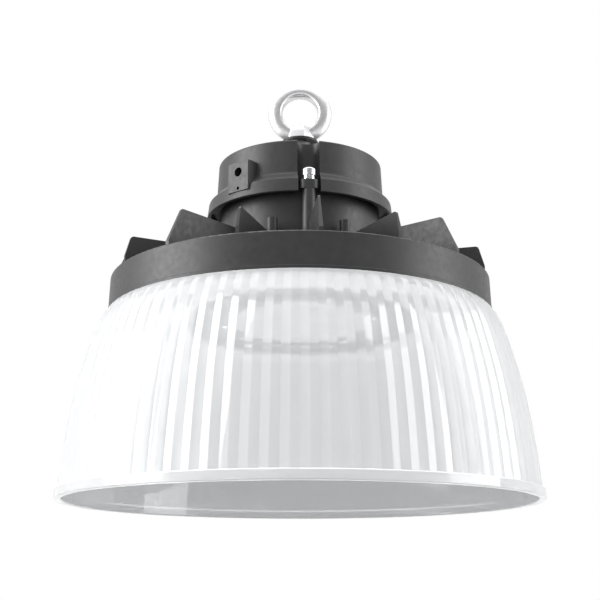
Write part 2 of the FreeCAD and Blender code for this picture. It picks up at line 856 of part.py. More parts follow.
def make_housing_fasteners():
    """Socket head screws with their spring and flat washers, one set at each station."""
    flat_top = CHANNEL_FLOOR + d.flat_washer_thickness
    spring_top = flat_top + d.spring_washer_thickness
    inner = d.housing_screw_radius + d.fit_play
    washers = (
        ("housing_flat_washers", d.flat_washer_radius, CHANNEL_FLOOR, flat_top),
        ("housing_spring_washers", d.spring_washer_radius, flat_top, spring_top),
    )
    for label, outer, low, high in washers:
        body = new_body(label, FRONT_TURN)
        corners = [(inner, low), (outer, low), (outer, high), (inner, high)]
        washer = turn(body, f"{label}_disc", corners, x=d.station_circle)
        repeat(body, f"{label}_all", [washer], d.station_count)
    body = new_body("housing_screws", FRONT_TURN)
    head_top = spring_top + d.housing_screw_head_height
    tip = POST_TOP - d.housing_screw_grip
    corners = [
        (0, tip),
        (d.housing_screw_radius, tip),
        (d.housing_screw_radius, spring_top),
        (d.housing_screw_head_radius, spring_top),
        (d.housing_screw_head_radius, head_top - d.housing_screw_chamfer),
        (d.housing_screw_head_radius - d.housing_screw_chamfer, head_top),
        (0, head_top),
    ]
    screw = turn(body, "housing_screw", corners, x=d.station_circle)
    repeat(body, "housing_screws_turned", [screw], d.station_count)
    socket_floor = head_top - d.housing_screw_socket_depth
    sizes = {"Circumradius": d.housing_screw_socket_radius, "Height": d.housing_screw_head_height}
    socket = primitive(
        body, "socket", "Prism", "XY_Plane", {"x": d.station_circle, "z": socket_floor}, sizes, cut=True
    )
    repeat(body, "sockets", [socket], d.station_count)


def make_housing_gasket():
    outer = d.hub_radius_top - d.fit_play
    plain_ring("housing_gasket", outer - d.gasket_width, outer, HUB_TOP, SEAT)


# --------------------------------------------------------------------------------------------
# Lifting eye and what holds it
# --------------------------------------------------------------------------------------------


def make_eyebolt():
    """A ring on a collar with a flat-sided foot between them, and a shank through the roof."""
    body = new_body("eyebolt")
    collar_top = EYE_COLLAR_LOW + d.eye_collar_height
    tip = EYE_COLLAR_LOW - d.eye_shank_length
    corners = [
        (0, tip),
        (d.eye_shank_radius, tip, d.shank_rounding),
        (d.eye_shank_radius, EYE_COLLAR_LOW),
        (d.eye_collar_radius, EYE_COLLAR_LOW),
        (d.eye_collar_radius, EYE_COLLAR_LOW + d.eye_collar_edge),
        (d.eye_collar_neck, collar_top),
        (0, collar_top),
    ]
    turn(body, "collar_and_shank", corners)
    foot_low = new_sketch(body, "foot_low", "XY_Plane", z=EYE_COLLAR_LOW + d.eye_collar_edge)
    foot_top = new_sketch(body, "foot_top", "XY_Plane", z=EYE_COLLAR_LOW + d.eye_foot_height)
    for sketch, width, depth in (
        (foot_low, d.eye_foot_width, d.eye_foot_depth),
        (foot_top, d.eye_foot_top_width, d.eye_foot_top_depth),
    ):
        x, y = width / 2, depth / 2
        draw_outline(sketch, [(-x, -y), (x, -y), (x, y), (-x, y)])
    doc.recompute()
    before = volume_of(body)
    foot = body.newObject("PartDesign::AdditiveLoft", "foot")
    foot.Profile = foot_low
    foot.Sections = [foot_top]
    foot.Ruled = True
    finish_feature(body, foot, before, False)
    sizes = {"Radius1": d.eye_ring_radius, "Radius2": d.eye_wire_radius}
    offset = {"y": EYE_COLLAR_LOW + d.eye_rise}
    primitive(body, "ring", "Torus", "XZ_Plane", offset, sizes)
    return body


def make_eye_fasteners():
    inner = d.eye_shank_radius + d.fit_play
    plain_ring("eye_seal", inner, d.eye_seal_radius, EYE_NUT_TOP, EYE_COLLAR_LOW)
    plain_ring("eye_washer", inner, d.eye_washer_radius, ROOF_BOSS_TOP, EYE_WASHER_TOP)
    hex_nut("eye_nut", d.eye_nut_flats, d.eye_nut_height, inner, EYE_WASHER_TOP)
    hex_nut("eye_lock_nut", d.eye_nut_flats, d.eye_nut_height, inner, ROOF_LOW - d.eye_nut_height)


def hex_nut(label, flats, height, bore, low):
    """A nut with its corners turned down at both faces."""
    body = new_body(label)
    hexagon(body, f"{label}_hexagon", flats, height, z=low)
    cylinder(body, f"{label}_bore", bore, height, cut=True, z=low)
    rim = flats / 2
    corner = flats / math.sqrt(3) + PAST_FACE
    slope = corner - rim
    for name, face, way in (("lower", low, 1), ("upper", low + height, -1)):
        rise = slope * way / 2
        corners = [(rim, face), (corner, face), (corner, face + rise)]
        turn(body, f"{label}_{name}_chamfer", corners, cut=True)
    return body


# --------------------------------------------------------------------------------------------
# Shade: a fluted bell with a rim lip and a flange at its top
# --------------------------------------------------------------------------------------------


def crest_points():
    """The line that each flute crest follows, as radius and height."""
    return [
        (d.crest_foot_radius, d.crest_foot_height),
        (d.crest_low_radius, d.crest_low_height),
        (d.crest_middle_radius, d.crest_middle_height),
        (d.crest_high_radius, d.crest_high_height),
        (d.crest_shoulder_radius, d.crest_shoulder_height),
        (d.crest_top_radius, d.shade_top),
    ]


def meridian(inset, drop=0):
    """The crest line moved towards the axis and down, as a smooth curve over the X axis."""
    points = [
        FreeCAD.Vector(radius.value - inset, 0, height.value - drop)
        for radius, height in crest_points()
    ]
    curve = Part.BSplineCurve()
    curve.interpolate(points)
    return curve.toShape()


def turned_about_z(shape, degrees):
    copy = shape.copy()
    copy.rotate(FreeCAD.Vector(), AXIS_Z, degrees)
    return copy


def fluted_solid():
    """A solid bell whose outside is a ring of upright flutes, each with two flat-sided flanks."""
    count = int(d.flute_count.value)
    half_pitch = FULL_TURN / count / 2
    crest = meridian(0)
    valley = meridian(d.flute_depth.value)
    lines = [
        turned_about_z(crest if i % 2 else valley, i * half_pitch - QUARTER_TURN)
        for i in range(count * 2)
    ]
    following = lines[1:] + lines[:1]
    flanks = [Part.makeRuledSurface(line, other) for line, other in zip(lines, following)]
    rims = []
    for end in (0, -1):
        corners = [line.Vertexes[end].Point for line in lines]
        rims.append(Part.Face(Part.makePolygon(corners + corners[:1])))
    shell = Part.makeShell(flanks + rims)
    shell.sewShape()
    solid = Part.makeSolid(shell)
    if solid.Volume < 0:
        solid.reverse()
    return solid


def shade_inside():
    """The space inside the wall, up to the flange."""
    inset = d.flute_depth.value + d.shade_wall.value
    wall = meridian(inset, d.shade_flange_thickness.value)
    foot, top = wall.Vertexes[0].Point, wall.Vertexes[-1].Point
    below = FreeCAD.Vector(foot.x, 0, -PAST_FACE)
    corners = [top, FreeCAD.Vector(0, 0, top.z), FreeCAD.Vector(0, 0, -PAST_FACE), below, foot]
    sides = [Part.LineSegment(a, b).toShape() for a, b in zip(corners, corners[1:])]
    face = Part.Face(Part.Wire([wall] + sides))
    return face.revolve(FreeCAD.Vector(), AXIS_Z, FULL_TURN)


def make_shade():
    lip = Part.makeCylinder(d.rim_radius.value, d.lip_height.value)
    lip = lip.makeFillet(d.lip_rounding.value, [edge for edge in lip.Edges if edge.Closed])
    opening = Part.makeCylinder(d.shade_opening_radius.value, d.shade_top.value + PAST_FACE)
    shape = fluted_solid().fuse(lip).cut([shade_inside(), opening])
    hole_radius = d.shade_screw_radius.value + d.hole_play.value
    drill = Part.makeCylinder(hole_radius, d.shade_top.value + PAST_FACE)
    drill.translate(AXIS_X * d.shade_screw_circle.value)
    pitch = FULL_TURN / d.shade_screw_count.value
    turns = [FRONT_TURN.value + i * pitch for i in range(int(d.shade_screw_count.value))]
    drills = [turned_about_z(drill, angle) for angle in turns]
    shape = shape.cut(drills)
    shade = doc.addObject("Part::Feature", "shade")
    shade.Label = "shade"
    shade.Shape = shape.Solids[0] if len(shape.Solids) == 1 else shape
    place(shade, "Placement")
    return shade


def make_shade_clamp():
    body = plain_ring(
        "shade_ring", d.shade_opening_radius + d.shade_ring_margin, d.shade_ring_radius, RING_LOW,
        CLAMP_SEAT, FRONT_TURN,
    )
    hole = cylinder(
        body, "clamp_hole", d.shade_screw_radius + d.hole_play, d.shade_ring_thickness, cut=True,
        x=d.shade_screw_circle, z=RING_LOW,
    )
    repeat(body, "clamp_holes", [hole], d.shade_screw_count)
    ring_screws(
        "shade_screws", d.shade_screw_count, d.shade_screw_circle, RING_LOW, FRONT_TURN,
        d.shade_screw_head_radius, d.shade_screw_head_height, d.shade_screw_radius, d.shade_screw_length,
    )


# --------------------------------------------------------------------------------------------
# Light engine under the base: pad, board, chips, lens, gasket and ring
# --------------------------------------------------------------------------------------------


def drilled_disc(label, outer, low, high, centre_hole, holes, angle):
    """A disc with a centre hole and a circle of holes, given as radius, circle and count."""
    body = plain_ring(label, centre_hole, outer, low, high, angle)
    radius, circle, count = holes
    hole = cylinder(body, f"{label}_hole", radius, high - low, cut=True, x=circle, z=low)
    repeat(body, f"{label}_holes", [hole], count)
    return body


def make_light_engine():
    screw_hole = (d.led_screw_radius + d.hole_play, d.led_screw_circle, d.led_screw_count)
    drilled_disc(
        "thermal_pad", BOARD_RADIUS, PAD_LOW, POCKET_ROOF, d.lead_hole_radius, screw_hole, FRONT_TURN
    )
    drilled_disc("led_board", BOARD_RADIUS, LED_BOARD_LOW, PAD_LOW, 0, screw_hole, FRONT_TURN)
    ring_screws(
        "led_board_screws", d.led_screw_count, d.led_screw_circle, LED_BOARD_LOW, FRONT_TURN,
        d.led_screw_head_radius, d.led_screw_head_height, d.led_screw_radius, d.led_screw_length,
    )
    make_chips()
    lens_hole = (d.lens_screw_radius + d.hole_play, d.lens_screw_circle, d.lens_screw_count)
    drilled_disc("lens_cover", d.lens_radius, LENS_LOW, BASE_LOW, 0, lens_hole, FRONT_TURN)
    groove_roof = BASE_LOW + d.lens_gasket_depth
    gasket_outer = d.lens_gasket_radius + d.lens_gasket_width
    plain_ring("lens_gasket", d.lens_gasket_radius, gasket_outer, BASE_LOW, groove_roof)
    make_lens_ring()
    ring_screws(
        "lens_ring_screws", d.lens_screw_count, d.lens_screw_circle, LENS_RING_LOW, FRONT_TURN,
        d.lens_screw_head_radius, d.lens_screw_head_height, d.lens_screw_radius, d.lens_screw_length,
    )


def make_chips():
    """Square light-emitting chips in rings under the board."""
    body = new_body("led_chips")
    for ring in range(int(d.chip_ring_count.value)):
        circle = d.chip_ring_first + d.chip_ring_pitch * ring
        half = d.chip_side / 2
        offset = {"x": circle - half, "y": -half, "z": LED_BOARD_LOW - d.chip_height}
        sizes = {"Length": d.chip_side, "Width": d.chip_side, "Height": d.chip_height}
        chip = primitive(body, f"chip_{ring}", "Box", "XY_Plane", offset, sizes)
        repeat(body, f"chip_ring_{ring}", [chip], d.chip_ring_share * (ring + 1))
    return body


def make_lens_ring():
    """A shallow cup-shaped ring that holds the lens up against the base."""
    body = new_body("lens_ring", FRONT_TURN)
    collar = d.lens_radius + d.fit_play
    corners = [
        (d.lens_ring_opening, LENS_RING_LOW),
        (d.lens_ring_radius, LENS_RING_LOW, d.lens_ring_rounding),
        (d.lens_ring_radius, BASE_LOW),
        (collar, BASE_LOW),
        (collar, LENS_LOW),
        (d.lens_ring_opening, LENS_LOW),
    ]
    turn(body, "lens_ring_shape", corners)
    hole = cylinder(
        body, "ring_hole", d.lens_screw_radius + d.hole_play, d.lens_ring_thickness, cut=True,
        x=d.lens_screw_circle, z=LENS_RING_LOW,
    )
    repeat(body, "ring_holes", [hole], d.lens_screw_count)
    return body


# --------------------------------------------------------------------------------------------
# Driver inside the hub: board on standoffs, with its parts standing on it
# --------------------------------------------------------------------------------------------


def make_driver():
    board_hole = (d.board_screw_radius + d.hole_play, d.standoff_circle, d.standoff_count)
    drilled_disc(
        "driver_board", d.driver_board_radius, DRIVER_BOARD_LOW, DRIVER_BOARD_TOP, 0, board_hole,
        d.standoff_angle,
    )
    body = new_body("board_standoffs", d.standoff_angle)
    standoff = hexagon(
        body, "standoff", d.standoff_flats, d.standoff_height, x=d.standoff_circle, z=BASE_TOP
    )
    bore_depth = d.board_screw_length
    bore = cylinder(
        body, "standoff_bore", d.board_screw_radius + d.thread_play, bore_depth, cut=True,
        x=d.standoff_circle, z=DRIVER_BOARD_LOW - bore_depth,
    )
    repeat(body, "standoffs", [standoff, bore], d.standoff_count)
    ring_screws(
        "board_screws", d.standoff_count, d.standoff_circle, DRIVER_BOARD_TOP, d.standoff_angle,
        d.board_screw_head_radius, d.board_screw_head_height, d.board_screw_radius, d.board_screw_length,
        down=False,
    )
    make_transformer()
    make_choke()
    make_capacitors()
    make_terminal()
    make_leads()


def make_transformer():
    """A block core round a winding."""
    body = new_body("driver_transformer")
    low = DRIVER_BOARD_TOP
    x = d.core_width / 2
    y = d.core_length / 2
    window = d.core_height - d.core_leg * 2
    sizes = {"Length": d.core_width, "Width": d.core_length, "Height": d.core_height}
    offset = {"x": -x, "y": d.transformer_offset - y, "z": low}
    primitive(body, "core", "Box", "XY_Plane", offset, sizes)
    cylinder(body, "winding", d.winding_radius, window, y=d.transformer_offset, z=low + d.core_leg)
    return body


def make_choke():
    """A ring choke standing on its edge."""
    body = new_body("driver_choke")
    half = d.choke_width / 2
    corners = [
        (d.choke_hole_radius, -half),
        (d.choke_radius, -half),
        (d.choke_radius, half),
        (d.choke_hole_radius, half),
    ]
    sketch = new_sketch(body, "choke_section", "XZ_Plane")
    draw_outline(sketch, corners)
    doc.recompute()
    before = volume_of(body)
    ring = body.newObject("PartDesign::Revolution", "choke_ring")
    ring.Profile = sketch
    ring.ReferenceAxis = (sketch, ["V_Axis"])
    ring.Angle = FULL_TURN
    finish_feature(body, ring, before, False)
    height = DRIVER_BOARD_TOP + d.choke_radius
    place(body, "Placement", y=-d.choke_offset, z=height, axis=AXIS_X, angle=QUARTER_TURN)
    return body


def make_capacitors():
    """Two smoothing capacitors side by side."""
    body = new_body("driver_capacitors")
    top = DRIVER_BOARD_TOP + d.capacitor_height
    corners = [
        (0, DRIVER_BOARD_TOP),
        (d.capacitor_radius, DRIVER_BOARD_TOP),
        (d.capacitor_radius, top, d.capacitor_rounding),
        (0, top),
    ]
    for side, x in (("left", -d.capacitor_offset), ("right", d.capacitor_offset)):
        turn(body, f"capacitor_{side}", corners, x=x)
    return body


def make_terminal():
    """The terminal block for the incoming supply, with its three wire openings."""
    body = new_body("driver_terminal")
    sizes = {"Length": d.terminal_length, "Width": d.terminal_width, "Height": d.terminal_height}
    offset = {"x": d.terminal_length / -2, "y": d.terminal_offset, "z": DRIVER_BOARD_TOP}
    primitive(body, "block", "Box", "XY_Plane", offset, sizes)
    pitch = d.terminal_length / 3
    for index in (-1, 0, 1):
        cylinder(
            body, f"wire_opening_{index + 1}", d.terminal_hole_radius, d.terminal_width / 2, cut=True,
            role="XZ_Plane", x=pitch * index, y=DRIVER_BOARD_TOP + d.terminal_height / 2,
            z=-(d.terminal_offset + d.terminal_width),
        )
    return body


def make_leads():
    """The two leads from the driver board down to the LED board."""
    body = new_body("led_leads")
    length = DRIVER_BOARD_LOW - PAD_LOW
    for name, x in (("positive", d.lead_spacing / 2), ("negative", d.lead_spacing / -2)):
        cylinder(body, f"{name}_lead", d.lead_radius, length, x=x, z=PAD_LOW)
    return body


# --------------------------------------------------------------------------------------------
# Cable gland at the back
# --------------------------------------------------------------------------------------------


def gland_piece(label):
    """A body whose own upright axis points straight back from the housing."""
    body = new_body(label)
    place(body, "Placement", z=GLAND_Z, axis=AXIS_X, angle=-QUARTER_TURN)
    return body


def bored_hexagon(body, name, flats, low, high, bore):
    hexagon(body, f"{name}_hexagon", flats, high - low, z=low)
    cylinder(body, f"{name}_bore", bore, high - low, cut=True, z=low)


def make_gland():
    face = d.gland_boss_reach
    flange_top = face + d.gland_flange_thickness
    stub_top = flange_top + d.gland_stub_length
    thread_low = d.gland_boss_inner - d.gland_nut_thickness - PAST_FACE
    body = gland_piece("gland_body")
    hexagon(body, "flange", d.gland_flats, d.gland_flange_thickness, z=face)
    turn(
        body, "threads",
        [(0, thread_low), (d.gland_thread_radius, thread_low), (d.gland_thread_radius, face),
         (d.gland_stub_radius, flange_top), (d.gland_stub_radius, stub_top), (0, stub_top)],
    )
    cylinder(body, "bore", d.gland_bore_radius, stub_top - thread_low, cut=True, z=thread_low)

    seal = gland_piece("gland_seal")
    seal_low = flange_top + d.gland_seal_inset
    seal_top = stub_top + d.gland_seal_rise
    outer = d.gland_bore_radius - d.fit_play
    turn(
        seal, "seal",
        [(d.gland_seal_bore, seal_low), (outer, seal_low), (outer, seal_top), (d.gland_seal_bore, seal_top)],
    )

    cap = gland_piece("gland_cap")
    cap_low = flange_top + d.fit_play
    cap_top = cap_low + d.gland_cap_length
    dome_low = cap_top - d.gland_cap_length / 3
    hexagon(cap, "cap_hexagon", d.gland_flats, dome_low - cap_low, z=cap_low)
    rim = d.gland_flats / 2 - d.gland_dome_step
    crown = d.gland_cap_mouth + d.gland_cap_rim
    turn(
        cap, "dome",
        [(0, cap_low), (rim, cap_low), (rim, dome_low), (crown, cap_top, d.gland_cap_rounding),
         (0, cap_top)],
    )
    inside = stub_top + d.fit_play
    thread = d.gland_stub_radius + d.thread_play
    mouth = d.gland_cap_mouth
    turn(
        cap, "cap_inside",
        [(0, cap_low - PAST_FACE), (thread, cap_low - PAST_FACE), (thread, inside),
         (mouth, seal_top + PAST_FACE), (mouth, cap_top + PAST_FACE), (0, cap_top + PAST_FACE)],
        cut=True,
    )

    nut = gland_piece("gland_nut")
    nut_low = d.gland_boss_inner - d.gland_nut_thickness
    bored_hexagon(
        nut, "lock_nut", d.gland_nut_flats, nut_low, d.gland_boss_inner,
        d.gland_thread_radius + d.thread_play,
    )


# --------------------------------------------------------------------------------------------
# Build, check and write
# --------------------------------------------------------------------------------------------


def pieces():
    """The bodies and features that are pieces of the light."""
    return [
        item
        for item in doc.Objects
        if item.TypeId == "PartDesign::Body" or item.TypeId == "Part::Feature"
    ]


def check_document():
    for item in doc.Objects:
        if "Invalid" in item.State or "Error" in item.State:
            raise ValueError(f"{item.Label} did not compute: {item.State}")
    for item in pieces():
        if item.Shape.isNull() or not item.Shape.isValid() or not item.Shape.Solids:
            raise ValueError(f"{item.Label} has no sound shape")


def write_pieces():
    os.makedirs("parts", exist_ok=True)
    for item in pieces():
        item.Shape.exportStep(f"parts/{item.Label}.step")


make_heat_sink()
make_driver_housing()
make_housing_fasteners()
make_housing_gasket()
make_eyebolt()
make_eye_fasteners()
make_shade()
make_shade_clamp()
make_light_engine()
make_driver()
make_gland()
doc.recompute()
check_document()
write_pieces()
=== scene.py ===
import math

import bmesh
import bpy
from bpy.props import FloatProperty, FloatVectorProperty, IntProperty, PointerProperty
from mathutils import Matrix, Vector


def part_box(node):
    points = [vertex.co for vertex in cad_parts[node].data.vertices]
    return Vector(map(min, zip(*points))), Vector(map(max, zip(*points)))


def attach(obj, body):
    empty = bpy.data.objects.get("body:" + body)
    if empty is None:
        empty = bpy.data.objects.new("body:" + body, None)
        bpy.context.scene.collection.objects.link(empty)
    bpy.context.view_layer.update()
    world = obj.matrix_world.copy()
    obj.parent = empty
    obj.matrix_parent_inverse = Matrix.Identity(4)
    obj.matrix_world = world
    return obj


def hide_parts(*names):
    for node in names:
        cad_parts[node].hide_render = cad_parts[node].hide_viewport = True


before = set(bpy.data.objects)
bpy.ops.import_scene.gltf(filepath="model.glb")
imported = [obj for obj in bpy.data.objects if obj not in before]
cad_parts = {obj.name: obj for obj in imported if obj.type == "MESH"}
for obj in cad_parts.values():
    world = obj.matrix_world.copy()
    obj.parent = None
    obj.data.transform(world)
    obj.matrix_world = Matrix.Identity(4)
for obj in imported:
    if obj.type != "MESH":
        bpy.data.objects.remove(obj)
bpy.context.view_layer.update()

bl_info = {
    "name": "High Bay Light Dresser",
    "version": (1, 0, 0),
    "blender": (4, 5, 0),
    "location": "3D View > Sidebar > High Bay",
    "description": "Gives a round high bay light its fluted shade, cast finish and fine hardware",
    "category": "Object",
}

FULL_TURN = 2 * math.pi
FRONT_STATION = math.radians(5.63)


# ---------------------------------------------------------------------------------------------
# Settings that a user may change
# ---------------------------------------------------------------------------------------------


def length(name, description, default):
    return FloatProperty(name=name, description=description, default=default, min=0, unit="LENGTH")


def angle(name, description, degrees):
    return FloatProperty(
        name=name, description=description, default=math.radians(degrees), subtype="ANGLE"
    )


def level(name, description, default):
    return FloatProperty(name=name, description=description, default=default, min=0)


def share(name, description, default):
    return FloatProperty(
        name=name, description=description, default=default, min=0, max=1, subtype="FACTOR"
    )


def count(name, description, default):
    return IntProperty(name=name, description=description, default=default, min=8)


def colour(name, description, default):
    return FloatVectorProperty(
        name=name, description=description, default=default, min=0, max=1, size=3, subtype="COLOR"
    )


class ShadeSettings(bpy.types.PropertyGroup):
    rim_radius: length("Rim radius", "Outer radius of the smooth lip at the rim", 0.190)
    lip_height: length("Lip height", "Height of the smooth lip at the rim", 0.0075)
    lip_rounding: length("Lip rounding", "Radius of the lip's edges", 0.0012)
    flute_count: count("Flutes", "Number of upright flutes", 88)
    flute_depth: length("Flute depth", "Depth of the valleys between the flute crests", 0.0016)
    wall: length("Wall", "Thickness of the wall behind the valleys", 0.0022)
    flange: length("Flange", "Thickness of the flange at the top", 0.003)
    opening: length("Opening", "Radius of the opening in the flange", 0.118)
    tint: colour("Tint", "Colour of the polycarbonate", (0.93, 0.94, 0.95))
    roughness: share("Roughness", "Roughness of the polycarbonate", 0.02)
    clearness: share("Clearness", "How much of the light passes straight through", 0.68)


class CastingSettings(bpy.types.PropertyGroup):
    coat: colour("Powder coat", "Colour of the coat on the castings", (0.020, 0.020, 0.021))
    roughness: share("Roughness", "Roughness of the coat", 0.44)
    grain: length("Grain", "Size of the coat's orange peel", 0.0009)
    peel: share("Peel", "Strength of the coat's orange peel", 0.10)


class EyeSettings(bpy.types.PropertyGroup):
    ring_radius: length("Ring radius", "Radius of the ring's centre line", 0.021)
    wire_radius: length("Wire radius", "Radius of the ring's section", 0.006)
    wire_skew: share("Wire skew", "How far the thickest line of the ring lies inwards", 0.36)
    collar_radius: length("Collar radius", "Radius of the flat collar under the foot", 0.0128)
    foot_radius: length("Foot radius", "Corner radius of the foot at the collar", 0.0128)
    neck_radius: length("Neck radius", "Corner radius of the foot at the ring", 0.0108)
    foot_turn: angle("Foot turn", "How far the foot is turned from the ring", 14)
    thread_pitch: length("Thread pitch", "Pitch of the thread on the shank", 0.00175)
    metal: colour("Metal", "Colour of the zinc plate", (0.66, 0.66, 0.67))
    roughness: share("Roughness", "Roughness of the zinc plate", 0.34)


class HardwareSettings(bpy.types.PropertyGroup):
    knurl_count: count("Knurls", "Knurls round a socket head", 36)
    knurl_depth: length("Knurl depth", "Depth of the knurls", 0.00012)
    socket_flats: length("Socket", "Width across the flats of the hexagon socket", 0.005)
    bright: colour("Bright zinc", "Colour of the screws", (0.74, 0.75, 0.77))


class StageSettings(bpy.types.PropertyGroup):
    lens: level("Lens", "Focal length in mm on a 36 mm sensor", 69.6018)
    distance: length("Distance", "From the light's axis to the camera", 0.9228248)
    drop: length("Drop", "How far the camera stands below the rim", 0.0718)
    pitch: angle("Pitch", "How far the camera looks up", 14.3835)
    floor_drop: length("Floor", "How far the floor lies below the rim", 0.32)
    left_power: level("Left lamp", "Power of the left lamp in watts", 24)
    right_power: level("Right lamp", "Power of the right lamp in watts", 13)
    backdrop: colour("Backdrop", "Colour of the backdrop and floor", (1, 1, 1))
    fill_level: level("Fill", "Soft light from all round", 1.5)
    front_level: level("Front", "What gloss meets at the front", 0.34)
    top_level: level("Top", "What gloss meets above, added to the rest", 1.6)
    behind_level: level("Behind", "What shows through the shade", 0.28)
    floor_tone: share("Floor tone", "How light the floor is", 0.25)


# ---------------------------------------------------------------------------------------------
# Finishes
# ---------------------------------------------------------------------------------------------


class Finish:
    """A material with one principled shader, and short ways to add texture to it."""

    def __init__(self, name, **values):
        self.material = bpy.data.materials.new(name)
        self.material.use_nodes = True
        self.nodes = self.material.node_tree.nodes
        self.links = self.material.node_tree.links
        self.shader = self.nodes["Principled BSDF"]
        self.place = self.nodes.new("ShaderNodeTexCoord")
        for key, value in values.items():
            self.set(key, value)

    def set(self, key, value):
        socket = self.shader.inputs[key.replace("_", " ").title().replace("Ior", "IOR")]
        if hasattr(socket.default_value, "__len__") and len(value) == 3:
            value = (*value, 1)
        socket.default_value = value

    def noise(self, size, detail=2, stretch=(1, 1, 1)):
        """Noise whose grains are about this large, in metres."""
        mapping = self.nodes.new("ShaderNodeMapping")
        mapping.inputs["Scale"].default_value = stretch
        noise = self.nodes.new("ShaderNodeTexNoise")
        noise.inputs["Scale"].default_value = 1 / size
        noise.inputs["Detail"].default_value = detail
        self.links.new(self.place.outputs["Object"], mapping.inputs["Vector"])
        self.links.new(mapping.outputs["Vector"], noise.inputs["Vector"])
        return noise.outputs["Fac"]

    def spread(self, value, low, high):
        """A value from 0 to 1 spread between two numbers."""
        node = self.nodes.new("ShaderNodeMapRange")
        node.inputs["From Min"].default_value = 0.3
        node.inputs["From Max"].default_value = 0.7
        node.inputs["To Min"].default_value = low
        node.inputs["To Max"].default_value = high
        self.links.new(value, node.inputs["Value"])
        return node.outputs["Result"]

    def blend(self, value, first, second):
        """A colour between two, following a value."""
        node = self.nodes.new("ShaderNodeMix")
        node.data_type = "RGBA"
        node.inputs[6].default_value = (*first, 1)
        node.inputs[7].default_value = (*second, 1)
        self.links.new(value, node.inputs["Factor"])
        return node.outputs[2]

    def mottle(self, size, detail, first, second):
        """Lets the colour drift between two tones, in grains about this large."""
        return self.vary("Base Color", self.blend(self.noise(size, detail), first, second))

    def vary(self, socket, value):
        self.links.new(value, self.shader.inputs[socket])
        return self

    def bump(self, value, strength, depth):
        node = self.nodes.new("ShaderNodeBump")
        node.inputs["Strength"].default_value = strength
        node.inputs["Distance"].default_value = depth
        previous = self.shader.inputs["Normal"].links
        if previous:
            self.links.new(previous[0].from_socket, node.inputs["Normal"])
        self.links.new(value, node.inputs["Height"])
        self.links.new(node.outputs["Normal"], self.shader.inputs["Normal"])
        return self


def shaded(tone, factor):
    return tuple(min(1.0, channel * factor) for channel in tone)


def powder_coat(name, settings, factor=1.0):
    finish = Finish(name, roughness=settings.roughness, specular_ior_level=0.5)
    tone = shaded(settings.coat, factor)
    clouds = finish.spread(finish.noise(0.012, 3), 0, 1)
    finish.vary("Base Color", finish.blend(clouds, shaded(tone, 0.88), shaded(tone, 1.15)))
    low, high = settings.roughness - 0.05, settings.roughness + 0.06
    finish.vary("Roughness", finish.spread(finish.noise(0.004, 2), low, high))
    finish.bump(finish.noise(settings.grain, 2), settings.peel, 0.0002)
    finish.bump(finish.noise(settings.grain / 4, 1), settings.peel / 2, 0.0001)
    return finish.material


def zinc_plate(name, tone, roughness, stretch=(1, 1, 1), metallic=1.0):
    finish = Finish(name, metallic=metallic, roughness=roughness)
    mottle = finish.spread(finish.noise(0.003, 3), 0, 1)
    finish.vary("Base Color", finish.blend(mottle, shaded(tone, 0.94), shaded(tone, 1.04)))
    streaks = finish.noise(0.0008, 3, stretch)
    finish.vary("Roughness", finish.spread(streaks, roughness - 0.05, roughness + 0.07))
    finish.bump(streaks, 0.06, 0.0001)
    return finish.material


def moulded(name, tone, roughness, grain=0.0006, strength=0.08):
    """Moulded plastic or rubber with a fine spark-eroded grain."""
    finish = Finish(name, roughness=roughness)
    finish.mottle(0.006, 2, shaded(tone, 0.92), shaded(tone, 1.08))
    patches = finish.noise(0.003, 2)
    finish.vary("Roughness", finish.spread(patches, roughness - 0.05, roughness + 0.05))
    finish.bump(finish.noise(grain, 2), strength, 0.0001)
    return finish.material


def polycarbonate(name, settings):
    finish = Finish(
        name, roughness=settings.roughness, ior=1.49, transmission_weight=settings.clearness
    )
    streaks = finish.noise(0.02, 2, (1, 1, 0.15))
    finish.vary("Base Color", finish.blend(streaks, shaded(settings.tint, 0.985), settings.tint))
    finish.bump(finish.noise(0.005, 2, (1, 1, 0.2)), 0.03, 0.0002)
    return finish.material


def opal(name):
    finish = Finish(name, roughness=0.32, transmission_weight=0.25, ior=1.49)
    finish.mottle(0.01, 2, (0.80, 0.81, 0.82), (0.88, 0.88, 0.88))
    finish.bump(finish.noise(0.0011, 1), 0.15, 0.0002)
    return finish.material


def phosphor(name):
    finish = Finish(name, roughness=0.45)
    finish.mottle(0.0004, 3, (0.86, 0.62, 0.10), (0.95, 0.78, 0.26))
    finish.bump(finish.noise(0.0003, 2), 0.15, 0.0001)
    return finish.material


def solder_mask(name, tone, track_tone):
    """A lacquered board whose copper areas show faintly through the lacquer."""
    finish = Finish(name, roughness=0.3, coat_weight=0.4)
    blocks = finish.nodes.new("ShaderNodeTexVoronoi")
    blocks.distance = "CHEBYCHEV"
    blocks.inputs["Scale"].default_value = 90
    finish.links.new(finish.place.outputs["Object"], blocks.inputs["Vector"])
    tracks = finish.spread(blocks.outputs["Distance"], 0, 1)
    finish.vary("Base Color", finish.blend(tracks, tone, track_tone))
    finish.bump(finish.noise(0.0008, 2), 0.05, 0.0001)
    return finish.material


# ---------------------------------------------------------------------------------------------
# Mesh making
# ---------------------------------------------------------------------------------------------


def link_piece(name, mesh, material, slot, *nodes):
    """Puts a mesh into the scene as a piece that stands for the given nodes."""
    piece = bpy.data.objects.new(name, mesh)
    bpy.context.scene.collection.objects.link(piece)
    piece.data.materials.clear()
    piece.data.materials.append(material)
    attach(piece, "root")
    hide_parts(*nodes)


